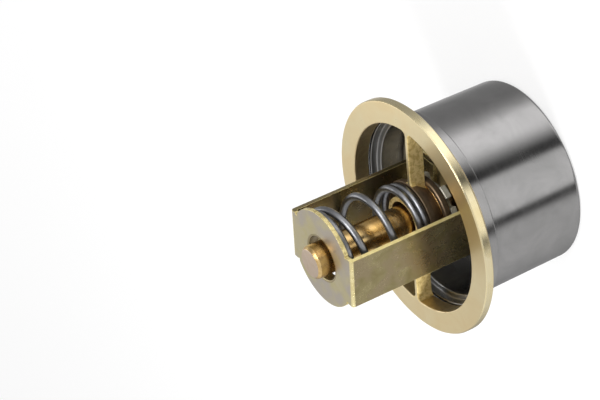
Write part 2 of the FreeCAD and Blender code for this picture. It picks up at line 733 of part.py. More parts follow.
def open_share(turn):
    """Rise rate of the open turns, as a share of their mean. They lie flatter on the side of SPRING_ZERO."""
    lean = S["spring_lean"].value * (1.0 - smooth_step(turn - SPRING_EVEN_TURN))
    is_open = past(turn, SPRING_OPEN_TURN) - past(turn, SPRING_TOP_TURN)
    return is_open * (1.0 - lean * math.cos(2 * math.pi * turn))


def close_share(turn):
    """Rise rate of the close turn at the bottom, as a share of the rise from one wire to the next."""
    return past(turn, SPRING_LIFT_TURN) - past(turn, SPRING_OPEN_TURN)


def widening(turn):
    """How far the coil has widened at this turn, from 0 on the hub to 1 under the end plate."""
    return smooth_step((turn - SPRING_WIDEN_TURN) / (SPRING_WIDE_TURN - SPRING_WIDEN_TURN))


def spring_points():
    """Corners of the runs whose middles touch the coil, from the hub's seat to the end plate."""
    low = SPRING_SEAT.value + S["wire_radius"].value + S["spring_seat_gap"].value
    high = PLATE_UNDERSIDE.value - S["wire_radius"].value - S["spring_seat_gap"].value
    close_rise = 2 * S["wire_radius"].value + S["spring_lower_gap"].value
    steps = round((SPRING_LAST_TURN - SPRING_FIRST_TURN) * SPRING_RUNS_PER_TURN)
    turns = [SPRING_FIRST_TURN + i / SPRING_RUNS_PER_TURN for i in range(steps + 1)]
    close_sum = sum(close_share(turn) for turn in turns) / SPRING_RUNS_PER_TURN
    open_sum = sum(open_share(turn) for turn in turns) / SPRING_RUNS_PER_TURN
    open_rise = (high - low - close_rise * close_sum) / open_sum
    small, large = S["spring_small_radius"].value, S["spring_large_radius"].value
    points = []
    height = low
    for turn in turns:
        step = (close_rise * close_share(turn) + open_rise * open_share(turn)) / SPRING_RUNS_PER_TURN
        angle = SPRING_ZERO + 2 * math.pi * turn
        radius = (small + (large - small) * widening(turn)) / math.cos(math.pi / SPRING_RUNS_PER_TURN)
        points.append(Vector(radius * math.cos(angle), radius * math.sin(angle), height + step / 2))
        height += step
    return points


def wire_faces(points):
    """Skin of the wire, from the middle of the first run to the middle of the last.

    Each corner is rounded by its largest tangent arc, round which the wire's circle is turned.
    """
    here = (points[0] + points[1]) / 2
    ring = Part.makeCircle(S["wire_radius"].value, here, points[1] - points[0])
    faces = [Part.Face(Part.Wire(ring))]
    for before, corner, after in zip(points, points[1:], points[2:]):
        back = (before - corner).normalize()
        onward = (after - corner).normalize()
        reach = min(before.distanceToPoint(corner), after.distanceToPoint(corner)) / 2
        half_angle = back.getAngle(onward) / 2
        start = corner + back * reach
        if here.distanceToPoint(start) > SAME:
            faces.append(ring.extrude(start - here))
            ring = ring.translated(start - here)
        centre = corner + (back + onward).normalize() * (reach / math.cos(half_angle))
        axis = onward.cross(back)
        turn = 180.0 - math.degrees(2 * half_angle)
        faces.append(ring.revolve(centre, axis, turn))
        ring = ring.rotated(centre, axis, turn)
        here = corner + onward * reach
    last = (points[-2] + points[-1]) / 2
    if here.distanceToPoint(last) > SAME:
        faces.append(ring.extrude(last - here))
        ring = ring.translated(last - here)
    faces.append(Part.Face(Part.Wire(ring)))
    return faces


def make_spring():
    """Wire wound along its coil, as one solid."""
    skin = Part.Compound(wire_faces(spring_points()))
    skin.sewShape(SAME)
    wire = Part.Solid(skin.Shells[0])
    if wire.Volume < 0:
        wire.reverse()
    spring = doc.addObject("Part::Feature", "return_spring")
    spring.Shape = wire
    spring.Label = "return_spring"
    return spring


sub_parts = [
    make_sleeve(),
    make_crossbar(),
    make_piston_seat(),
    make_stirrup(),
    make_rivet("rivet_left", -1),
    make_rivet("rivet_right", 1),
    make_piston(),
    make_flange(),
    make_seal(),
    make_capsule(),
    make_guide(),
    make_spring(),
]
doc.recompute()

for item in doc.Objects:
    if "Invalid" in item.State or "Error" in item.State:
        raise RuntimeError(f"{item.Name} could not be worked out: {item.State}")

os.makedirs("parts", exist_ok=True)
for sub_part in sub_parts:
    shape = sub_part.Shape
    if shape.isNull() or not shape.isValid():
        raise RuntimeError(f"{sub_part.Label} has no valid shape")
for sub_part in sub_parts:
    shape = sub_part.Shape
    print(f"{sub_part.Label}: {len(shape.Solids)} solid, {shape.Volume:.1f} mm3, {shape.BoundBox}")
    shape.exportStep(f"parts/{sub_part.Label}.step")
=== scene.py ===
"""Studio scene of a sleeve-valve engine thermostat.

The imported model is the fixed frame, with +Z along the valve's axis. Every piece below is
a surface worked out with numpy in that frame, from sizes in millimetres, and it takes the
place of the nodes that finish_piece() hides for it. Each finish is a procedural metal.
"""

from __future__ import annotations

import logging
import math
from dataclasses import dataclass, field
from enum import Enum

import bmesh
import bpy
import numpy as np
from mathutils import Matrix, Vector

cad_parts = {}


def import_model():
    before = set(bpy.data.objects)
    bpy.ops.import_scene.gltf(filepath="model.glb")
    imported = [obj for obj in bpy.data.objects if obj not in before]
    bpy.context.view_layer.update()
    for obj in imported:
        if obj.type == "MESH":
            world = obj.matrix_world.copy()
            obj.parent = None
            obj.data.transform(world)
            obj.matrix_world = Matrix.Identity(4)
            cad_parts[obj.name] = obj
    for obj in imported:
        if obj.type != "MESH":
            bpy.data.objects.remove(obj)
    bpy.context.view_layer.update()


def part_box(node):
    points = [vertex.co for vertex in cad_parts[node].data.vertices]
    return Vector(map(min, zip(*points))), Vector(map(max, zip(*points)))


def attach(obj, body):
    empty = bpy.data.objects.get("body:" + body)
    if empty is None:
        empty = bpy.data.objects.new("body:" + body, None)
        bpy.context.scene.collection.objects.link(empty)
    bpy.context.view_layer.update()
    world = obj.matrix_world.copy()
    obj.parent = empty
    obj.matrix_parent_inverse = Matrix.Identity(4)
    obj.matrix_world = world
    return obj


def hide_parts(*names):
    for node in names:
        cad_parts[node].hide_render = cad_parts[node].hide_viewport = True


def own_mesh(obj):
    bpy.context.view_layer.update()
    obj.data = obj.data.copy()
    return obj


log = logging.getLogger("thermostat")

MM = 0.001
FRAME_PIXELS = (600, 400)
MERGE_MM = 1e-4
SHARP_DEG = 32.0
BURR_DEG = 55.0
TURN_STEPS = 256
WHITE = (1.0, 1.0, 1.0, 1.0)
VALVE = "valve"
FLANGE = "flange"

Array = np.ndarray
Socket = bpy.types.NodeSocket
Colour = tuple[float, float, float]
Corner = tuple[float, float, float]


class Face(Enum):
    """Which of a piece's materials a surface takes."""

    MAIN = 0
    SECOND = 1
    THIRD = 2
    FOURTH = 3
    FIFTH = 4


# Surfaces as arrays


def grid_quads(
    rows: int, columns: int, wrap_rows: bool = False, wrap_columns: bool = False
) -> Array:
    """Quads between the neighbours of a grid whose points are numbered row by row.

    Args:
        rows: Number of rows of points.
        columns: Number of points in a row.
        wrap_rows: Whether the last row joins the first.
        wrap_columns: Whether the last point of a row joins its first.

    Returns:
        One row of four point numbers for each quad.
    """
    i = np.arange(rows if wrap_rows else rows - 1)
    j = np.arange(columns if wrap_columns else columns - 1)
    i, j = np.meshgrid(i, j, indexing="ij")
    down, across = (i + 1) % rows, (j + 1) % columns
    corners = [i * columns + j, i * columns + across, down * columns + across, down * columns + j]
    return np.stack(corners, axis=-1).reshape(-1, 4)


def rounded(corners: list[Corner], closed: bool = False, steps: int = 6) -> Array:
    """Line through corners, each turned into a tangent arc of its own radius.

    An arc of radius r at a corner whose sides meet at an angle a begins r / tan(a / 2)
    before the corner, and its points turn evenly about its centre.

    Args:
        corners: First and second coordinate and rounding radius of each corner.
        closed: Whether the last corner joins the first.
        steps: Number of pieces in each arc.

    Returns:
        Points of the line, two coordinates each.
    """
    spots = np.array([c[:2] for c in corners], float)
    runs = []
    for i, (_, _, radius) in enumerate(corners):
        inside = closed or 0 < i < len(corners) - 1
        if radius <= 0 or not inside:
            runs.append(spots[i : i + 1])
            continue
        back = spots[i - 1] - spots[i]
        onward = spots[(i + 1) % len(spots)] - spots[i]
        back /= np.linalg.norm(back)
        onward /= np.linalg.norm(onward)
        half = math.acos(np.clip(back @ onward, -1, 1)) / 2
        between = back + onward
        centre = spots[i] + between / np.linalg.norm(between) * radius / math.sin(half)
        start = spots[i] + back * radius / math.tan(half) - centre
        turn = (math.pi - 2 * half) * np.sign(back[1] * onward[0] - back[0] * onward[1])
        angle = np.linspace(0.0, turn, steps + 1)
        x = start[0] * np.cos(angle) - start[1] * np.sin(angle)
        y = start[0] * np.sin(angle) + start[1] * np.cos(angle)
        runs.append(centre + np.stack([x, y], axis=-1))
    return np.concatenate(runs)


def arc(centre: tuple[float, float], radius: float, start: float, end: float, steps: int) -> Array:
    """Points at even angles on a circle: centre plus radius times (cos, sin) of the angle.

    Args:
        centre: The circle's middle.
        radius: The circle's radius.
        start: First angle, in radians.
        end: Last angle, in radians.
        steps: Number of pieces.

    Returns:
        Points, two coordinates each.
    """
    angle = np.linspace(start, end, steps + 1)
    return np.array(centre) + radius * np.stack([np.cos(angle), np.sin(angle)], axis=-1)


def lathe(
    profile: Array, angles: Array | None = None, centre_x: float = 0.0, closed: bool = False
) -> tuple[Array, Array]:
    """A profile turned round the axis: a point is (r cos a, r sin a, z).

    Args:
        profile: Radius and height of each point.
        angles: Angles of the turned copies, or None for an even full turn.
        centre_x: Place of the axis along X.
        closed: Whether the profile's last point joins its first.

    Returns:
        Points and quads, one row of points for each angle.
    """
    if angles is None:
        angles = np.linspace(0, 2 * math.pi, TURN_STEPS, endpoint=False)
    radius, height = profile[:, 0], profile[:, 1]
    x = centre_x + np.cos(angles)[:, None] * radius
    y = np.sin(angles)[:, None] * radius
    z = np.broadcast_to(height, x.shape)
    points = np.stack([x, y, z], axis=-1).reshape(-1, 3)
    return points, grid_quads(len(angles), len(profile), wrap_rows=True, wrap_columns=closed)


def lies_at(edge: bmesh.types.BMEdge, height: float) -> bool:
    """Whether both ends of an edge are at a height in millimetres."""
    return all(abs(v.co.z - height * MM) < MERGE_MM * MM for v in edge.verts)


@dataclass
class Skin:
    """Surfaces collected for one piece, in millimetres, until they are made a mesh."""

    name: str
    points: list[Array] = field(default_factory=list)
    faces: list[Array] = field(default_factory=list)
    slots: list[Array] = field(default_factory=list)
    count: int = 0

    def add(self, points: Array, faces: Array, face: Face = Face.MAIN) -> None:
        """Add one surface.

        Args:
            points: Its points, three coordinates each, in any grid shape.
            faces: Its quads, which number those points.
            face: The material that it takes.
        """
        points = points.reshape(-1, 3)
        self.points.append(points)
        self.faces.append(faces + self.count)
        self.slots.append(np.full(len(faces), face.value, np.int32))
        self.count += len(points)

    def build(self, fills: tuple[float, ...] = (), outward: bool = True) -> bpy.types.Object:
        """Make the piece: merge its seams, fill its flat faces and turn all faces outwards.

        Args:
            fills: Heights of flat faces that the open edges at that height bound.
            outward: Whether the piece is closed, so that its faces can be turned outwards.

        Returns:
            The new object, at the origin.
        """
        mesh = bpy.data.meshes.new(self.name)
        mesh.from_pydata(np.concatenate(self.points) * MM, [], np.concatenate(self.faces))
        mesh.polygons.foreach_set("material_index", np.concatenate(self.slots))
        shape = bmesh.new()
        shape.from_mesh(mesh)
        bmesh.ops.remove_doubles(shape, verts=shape.verts, dist=MERGE_MM * MM)
        for height in fills:
            level = [e for e in shape.edges if e.is_boundary and lies_at(e, height)]
            bmesh.ops.triangle_fill(shape, use_beauty=True, use_dissolve=False, edges=level)
        if outward:
            bmesh.ops.recalc_face_normals(shape, faces=shape.faces)
        open_edges = sum(e.is_boundary for e in shape.edges)
        shape.to_mesh(mesh)
        shape.free()
        smooth(mesh)
        piece = bpy.data.objects.new(self.name, mesh)
        bpy.context.scene.collection.objects.link(piece)
        log.info("%s: %d faces, %d open edges", self.name, len(mesh.polygons), open_edges)
        return piece


def smooth(mesh: bpy.types.Mesh) -> None:
    """Shade a mesh smooth, with its sharp edges kept."""
    mesh.shade_smooth()
    mesh.set_sharp_from_angle(angle=math.radians(SHARP_DEG))


def weigh_normals(piece: bpy.types.Object) -> None:
    """Let large flat faces keep their own shading beside small roundings.

    Args:
        piece: The finished object.
    """
    modifier = piece.modifiers.new("weighted", "WEIGHTED_NORMAL")
    modifier.keep_sharp = True
    modifier.weight = 100


def thicken(piece: bpy.types.Object, sheet: float) -> None:
    """Give a middle surface its sheet's thickness, half of it to each side.

    Args:
        piece: A middle surface.
        sheet: Thickness in millimetres.
    """
    solid = piece.modifiers.new("sheet", "SOLIDIFY")
    solid.thickness = sheet * MM
    solid.offset = 0.0
    solid.use_even_offset = True
    solid.material_offset_rim = Face.SECOND.value


def burr_edges(piece: bpy.types.Object, width: float) -> None:
    """Round a sheet's cut edges a little, in the cut edge's material.

    Args:
        piece: A sheet with its full thickness.
        width: Width of the rounding in millimetres.
    """
    bevel = piece.modifiers.new("edge", "BEVEL")
    bevel.width = width * MM
    bevel.segments = 2
    bevel.limit_method = "ANGLE"
    bevel.angle_limit = math.radians(BURR_DEG)
    bevel.material = Face.SECOND.value


def finish_piece(
    piece: bpy.types.Object, body: str, slot: str, materials: list[bpy.types.Material], *nodes: str
) -> None:
    """Dress a piece, put it on its body and let it stand for its nodes.

    Args:
        piece: The finished object.
        body: The body that it rides on.
        slot: Name of the piece's material slot; not used.
        materials: Its materials, in the order of Face.
        nodes: The nodes that it replaces.
    """
    for material in materials:
        piece.data.materials.append(material)
    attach(piece, body)
    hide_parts(*nodes)
    log.info("%s rides on %s", piece.name, body)


# Shader nodes


class Tree:
    """Short forms for making and linking the nodes of one material, group or world."""

    def __init__(self, tree: bpy.types.NodeTree) -> None:
        """Start with an empty tree."""
        self.tree = tree
        tree.nodes.clear()

    def node(self, kind: str, **settings: object) -> bpy.types.Node:
        """Make a node.

        Args:
            kind: The node's type, without its first part.
            settings: Values of the node's own settings, by name.

        Returns:
            The node.
        """
        made = self.tree.nodes.new("ShaderNode" + kind)
        for name, value in settings.items():
            setattr(made, name, value)
        return made

    def feed(self, node: bpy.types.Node, **values: object) -> bpy.types.Node:
        """Set or link a node's inputs by name.

        Args:
            node: The node.
            values: A socket or a plain value by the input's name, with underscores for spaces.

        Returns:
            The same node.
        """
        for name, value in values.items():
            self.put(value, node.inputs[name.replace("_", " ")])
        return node

    def fill(self, node: bpy.types.Node, *values: object) -> Socket:
        """Set or link a node's first inputs in their order.

        Args:
            node: The node.
            values: A socket or a plain value for each of those inputs.

        Returns:
            The node's first output.
        """
        for value, target in zip(values, node.inputs):
            self.put(value, target)
        return node.outputs[0]

    def put(self, value: object, target: Socket) -> None:
        """Link a socket, or set a plain value.

        Args:
            value: A socket or a plain value.
            target: The input that takes it.
        """
        if isinstance(value, bpy.types.NodeSocket):
            self.tree.links.new(value, target)
        else:
            target.default_value = value

    def place(self) -> Socket:
        """The piece's own coordinates."""
        return self.node("TexCoord").outputs["Object"]

    def math(self, operation: str, *values: object) -> Socket:
        """Work out a number from one or two others."""
        return self.fill(self.node("Math", operation=operation), *values)

    def mix(self, share: Socket, first: object, second: object) -> Socket:
        """Mix two colours.

        Args:
            share: How much of the second colour shows.
            first: A colour or its socket.
            second: A colour or its socket.

        Returns:
            The mixed colour.
        """
        made = self.node("Mix", data_type="RGBA")
        for value, target in zip((share, first, second), (0, 6, 7)):
            self.put(value, made.inputs[target])
        return made.outputs[2]

    def mix_shaders(self, share: Socket, first: Socket, second: Socket) -> Socket:
        """Mix two shaders, with the second's share."""
        return self.fill(self.node("MixShader"), share, first, second)

    def ramp(
        self, value: Socket, low: object, high: object, to_low: float = 0.0, to_high: float = 1.0
    ) -> Socket:
        """Spread a value evenly from one range to another, with its ends held."""
        return self.fill(self.node("MapRange", clamp=True), value, low, high, to_low, to_high)

    def noise(self, scale: object, detail: float, rough: float, distortion: float = 0.0) -> Socket:
        """Noise on the piece's own coordinates, with its scale in waves for each metre."""
        made = self.feed(self.node("TexNoise"), Vector=self.place(), Scale=scale, Detail=detail)
        return self.feed(made, Roughness=rough, Distortion=distortion).outputs[0]

    def bump(self, height: Socket, strength: object, distance: float) -> Socket:
        """Normals of a fine relief, whose full depth is the distance in millimetres."""
        made = self.feed(self.node("Bump"), Height=height, Strength=strength)
        return self.feed(made, Distance=distance * MM).outputs[0]

    def group(self, name: str, **values: float) -> bpy.types.Node:
        """Place one of the shader node groups, with its inputs by name."""
        return self.feed(self.node("Group", node_tree=bpy.data.node_groups[name]), **values)

    def close(self, shader: Socket, kind: str = "OutputMaterial") -> None:
        """Link the tree's shader to its output."""
        self.put(shader, self.node(kind).inputs[0])


def new_group(
    name: str, inputs: dict[str, float], outputs: dict[str, str]
) -> tuple[Tree, Socket, Socket]:
    """An empty shader node group with its sockets.

    Args:
        name: The group's name.
        inputs: Default value of each number that goes in.
        outputs: Kind of each socket that comes out, Float, Color or Vector.

    Returns:
        The tree, its input node's outputs and its output node's inputs.
    """
    group = bpy.data.node_groups.new(name, "ShaderNodeTree")
    tree = Tree(group)
    for label, value in inputs.items():
        socket = group.interface.new_socket(label, in_out="INPUT", socket_type="NodeSocketFloat")
        socket.default_value = value
    for label, kind in outputs.items():
        group.interface.new_socket(label, in_out="OUTPUT", socket_type="NodeSocket" + kind)
    into = group.nodes.new("NodeGroupInput")
    out = group.nodes.new("NodeGroupOutput")
    return tree, into.outputs, out.inputs


def make_turning_group() -> None:
    """Fine lines round the axis, as a lathe leaves them.

    The noise is read at (radius, height, cos a, sin a), stretched so that it changes fast
    with the radius and the height and slowly with the angle a.
    """
    inputs = {"Lines per mm": 6.0, "Spread": 2.0, "Depth": 0.2}
    outputs = {"Value": "Float", "Normal": "Vector"}
    tree, into, out = new_group("turning_lines", inputs, outputs)
    x, y, z = tree.feed(tree.node("SeparateXYZ"), Vector=tree.place()).outputs
    squares = tree.math("ADD", tree.math("POWER", x, 2.0), tree.math("POWER", y, 2.0))
    radius = tree.math("SQRT", squares)
    safe = tree.math("MAXIMUM", radius, 1e-5)
    per_metre = tree.math("MULTIPLY", into["Lines per mm"], 1 / MM)
    cosine, sine = (
        tree.math("MULTIPLY", tree.math("DIVIDE", side, safe), into["Spread"]) for side in (x, y)
    )
    outward, upward = (tree.math("MULTIPLY", side, per_metre) for side in (radius, z))
    vector = tree.fill(tree.node("CombineXYZ"), outward, upward, cosine)
    noise = tree.node("TexNoise", noise_dimensions="4D")
    tree.feed(noise, Vector=vector, W=sine, Scale=1.0, Detail=2.0, Roughness=0.6)
    tree.put(noise.outputs[0], out["Value"])
    tree.put(tree.bump(noise.outputs[0], into["Depth"], distance=0.05), out["Normal"])


def make_blotch_group() -> None:
    """Soft stains: a drawn out noise, spread between a low and a high mark."""
    inputs = {"Size mm": 6.0, "Low": 0.35, "High": 0.65}
    tree, into, out = new_group("blotches", inputs, {"Mask": "Float"})
    scale = tree.math("DIVIDE", 1 / MM, into["Size mm"])
    wide = tree.noise(scale, detail=4.0, rough=0.6, distortion=0.6)
    tree.put(tree.ramp(wide, into["Low"], into["High"]), out["Mask"])


def new_material(name: str) -> tuple[bpy.types.Material, Tree]:
    """An empty node material.

    Args:
        name: The material's name.

    Returns:
        The material and its tree.
    """
    material = bpy.data.materials.new(name)
    material.use_nodes = True
    return material, Tree(material.node_tree)


@dataclass(frozen=True)
class Metal:
    """A metal's look: two colours that stains mix, a film, a roughness range, lines, grain."""

    name: str
    colour: Colour
    stain: Colour
    roughness: tuple[float, float]
    stain_mm: float = 6.0
    stain_range: tuple[float, float] = (0.35, 0.7)
    lines_per_mm: float = 0.0
    line_depth: float = 0.0
    line_spread: float = 2.0
    line_range: tuple[float, float] = (0.3, 0.7)
    line_gloss: tuple[float, float] = (0.9, 1.08)
    grain_per_mm: float = 0.0
    grain_depth: float = 0.0
    grain_mm: float = 0.1
    anisotropy: float = 0.0
    anisotropy_turn: float = 0.25
    metallic: float = 1.0
    film: Colour | None = None
    film_mm: float = 7.0
    film_range: tuple[float, float] = (0.44, 0.6)

    def build(self) -> bpy.types.Material:
        """Make the material.

        Returns:
            A node material with the metal's own Metallic level.
        """
        material, tree = new_material(self.name)
        shader = tree.node("BsdfPrincipled")
        low, high = self.stain_range
        stains = tree.group("blotches", Size_mm=self.stain_mm, Low=low, High=high)
        mask = stains.outputs["Mask"]
        colour = tree.mix(mask, (*self.colour, 1), (*self.stain, 1))
        rough = tree.ramp(mask, 0.0, 1.0, *self.roughness)
        if self.film:
            patches = tree.noise(1 / (self.film_mm * MM), detail=2.0, rough=0.5)
            colour = tree.mix(tree.ramp(patches, *self.film_range), colour, (*self.film, 1))
        if self.lines_per_mm:
            lines = tree.group(
                "turning_lines", Lines_per_mm=self.lines_per_mm,
                Spread=self.line_spread, Depth=self.line_depth,
            )
            shade = tree.ramp(lines.outputs["Value"], *self.line_range, *self.line_gloss)
            rough = tree.math("MULTIPLY", rough, shade)
            tree.feed(shader, Normal=lines.outputs["Normal"])
        if self.grain_per_mm:
            grain = tree.noise(self.grain_per_mm / MM, detail=4.0, rough=0.6)
            tree.feed(shader, Normal=tree.bump(grain, self.grain_depth, self.grain_mm))
        tree.feed(shader, Base_Color=colour, Metallic=self.metallic, Roughness=rough)
        tree.feed(shader, Anisotropic=self.anisotropy, Anisotropic_Rotation=self.anisotropy_turn)
        tree.close(shader.outputs[0])
        return material


@dataclass(frozen=True)
class Rubber:
    """Black seal rubber with a faint bloom."""

    name: str = "seal_black"
    colour: Colour = (0.012, 0.012, 0.014)
    bloom: Colour = (0.03, 0.03, 0.032)
    bloom_per_metre: float = 900.0
    bloom_range: tuple[float, float] = (0.3, 0.8)
    roughness: tuple[float, float] = (0.45, 0.6)

    def build(self) -> bpy.types.Material:
        """Make the material.

        Returns:
            A node material without metal.
        """
        material, tree = new_material(self.name)
        patches = tree.noise(self.bloom_per_metre, detail=3.0, rough=0.55)
        bloom = tree.ramp(patches, *self.bloom_range)
        colour = tree.mix(bloom, (*self.colour, 1), (*self.bloom, 1))
        rough = tree.ramp(bloom, 0.0, 1.0, *self.roughness)
        shader = tree.node("BsdfPrincipled")
        tree.feed(shader, Base_Color=colour, Metallic=0.0, Roughness=rough)
        tree.close(shader.outputs[0])
        return material


TURNED_BRASS = Metal(
    "turned_brass", (0.82, 0.70, 0.43), (0.76, 0.60, 0.33), (0.30, 0.38),
    stain_mm=14.0, lines_per_mm=7.0, line_depth=0.07, line_spread=1.5, anisotropy=0.15,
)
RIM_BRASS = Metal(
    "rim_brass", (0.96, 0.85, 0.56), (0.88, 0.74, 0.42), (0.22, 0.32),
    stain_mm=7.0, lines_per_mm=7.0, line_depth=0.08, line_spread=1.5, anisotropy=0.4,
)
CAST_BRASS = Metal(
    "cast_brass", (0.90, 0.70, 0.31), (0.60, 0.43, 0.15), (0.40, 0.56),
    stain_mm=1.2, stain_range=(0.42, 0.62), grain_per_mm=2.4, grain_depth=0.8, metallic=0.25,
)
BORED_BRASS = Metal(
    "bored_brass", (0.80, 0.66, 0.40), (0.60, 0.47, 0.26), (0.32, 0.44),
    stain_mm=3.0, lines_per_mm=5.0, line_depth=0.1,
)
# Bronze darkened to the level of the shade round the hub: partly the element's brown tone, partly
# painted shade.
BRONZE_WITH_PAINTED_SHADE = Metal(
    "bronze_with_painted_shade", (0.27, 0.19, 0.12), (0.18, 0.13, 0.08), (0.36, 0.48),
    stain_mm=3.0, lines_per_mm=4.0, line_depth=0.1, metallic=0.8,
)
PASSIVATED_SHEET = Metal(
    "passivated_sheet", (0.52, 0.46, 0.30), (0.49, 0.43, 0.23), (0.28, 0.38),
    stain_mm=4.0, grain_per_mm=1.2, grain_depth=0.05, metallic=0.9, film=(0.45, 0.40, 0.33),
)
# Olive-gold tone of the arms, darker than the end plate as painted shade; also the far arm's side
# edges, as their painted shade.
OLIVE_SHEET_AND_PAINTED_SHADE = Metal(
    "olive_sheet_and_painted_shade", (0.40, 0.34, 0.18), (0.29, 0.24, 0.11), (0.24, 0.36),
    stain_mm=4.0, grain_per_mm=1.2, grain_depth=0.05, metallic=0.95,
    film=(0.36, 0.29, 0.17), film_mm=5.0,
)
# Pale bright gold along the arms' outer bends: a painted highlight.
BEND_PAINTED_HIGHLIGHT = Metal(
    "bend_painted_highlight", (0.90, 0.79, 0.44), (0.74, 0.62, 0.30), (0.22, 0.32),
    stain_mm=3.0, grain_per_mm=1.2, grain_depth=0.05, metallic=0.85,
)
SHEARED_BRASS = Metal(
    "sheared_brass", (0.82, 0.69, 0.32), (0.46, 0.37, 0.15), (0.24, 0.4),
    stain_mm=1.5, stain_range=(0.4, 0.62), grain_per_mm=4.0, grain_depth=0.15, metallic=0.45,
)
# Pale bright gold on the near arm's side edges only: a painted highlight.
NEAR_EDGE_PAINTED_HIGHLIGHT = Metal(
    "near_edge_painted_highlight", (0.94, 0.80, 0.37), (0.72, 0.59, 0.23), (0.28, 0.42),
    stain_mm=2.5, stain_range=(0.4, 0.7), grain_per_mm=4.0, grain_depth=0.12, metallic=0.3,
)
DRAWN_COPPER = Metal(
    "drawn_copper", (0.82, 0.58, 0.26), (0.54, 0.34, 0.13), (0.2, 0.32),
    stain_mm=3.0, lines_per_mm=5.0, line_depth=0.12, anisotropy=0.2,
)
CAPSULE_END = Metal(
    "capsule_end", (0.60, 0.48, 0.38), (0.54, 0.42, 0.30), (0.32, 0.42),
    stain_mm=2.5, grain_per_mm=3.0, grain_depth=0.06,
)
TURNED_ELEMENT = Metal(
    "turned_element", (0.40, 0.32, 0.20), (0.28, 0.21, 0.12), (0.28, 0.42),
    stain_mm=4.0, lines_per_mm=5.0, line_depth=0.1,
)
CLIP_STEEL = Metal(
    "clip_steel", (0.66, 0.63, 0.52), (0.50, 0.47, 0.37), (0.3, 0.42),
    stain_mm=2.0, grain_per_mm=4.0, grain_depth=0.1, metallic=0.3,
)
CROSSBAR_SHEET = Metal(
    "crossbar_sheet", (0.60, 0.54, 0.42), (0.44, 0.39, 0.28), (0.28, 0.4),
    stain_mm=5.0, grain_per_mm=2.0, grain_depth=0.08,
)
BRUSHED_STAINLESS = Metal(
    "brushed_stainless", (0.42, 0.412, 0.41), (0.35, 0.346, 0.342), (0.20, 0.26),
    stain_mm=12.0, lines_per_mm=5.0, line_depth=0.10, line_spread=1.2, anisotropy=0.88,
)
SLEEVE_INSIDE = Metal(
    "sleeve_inside", (0.34, 0.34, 0.34), (0.25, 0.25, 0.25), (0.26, 0.36),
    stain_mm=8.0, lines_per_mm=5.0, line_depth=0.10, line_spread=1.2, anisotropy=0.7,
)
SPRING_STEEL = Metal(
    "spring_steel", (0.31, 0.315, 0.33), (0.23, 0.235, 0.25), (0.3, 0.42),
    stain_mm=1.2, grain_per_mm=5.0, grain_depth=0.12,
)
GROUND_STEEL = Metal(
    "ground_steel", (0.60, 0.60, 0.61), (0.50, 0.50, 0.51), (0.16, 0.24),
    stain_mm=3.0, lines_per_mm=8.0, line_depth=0.06,
)


# Sub-assemblies


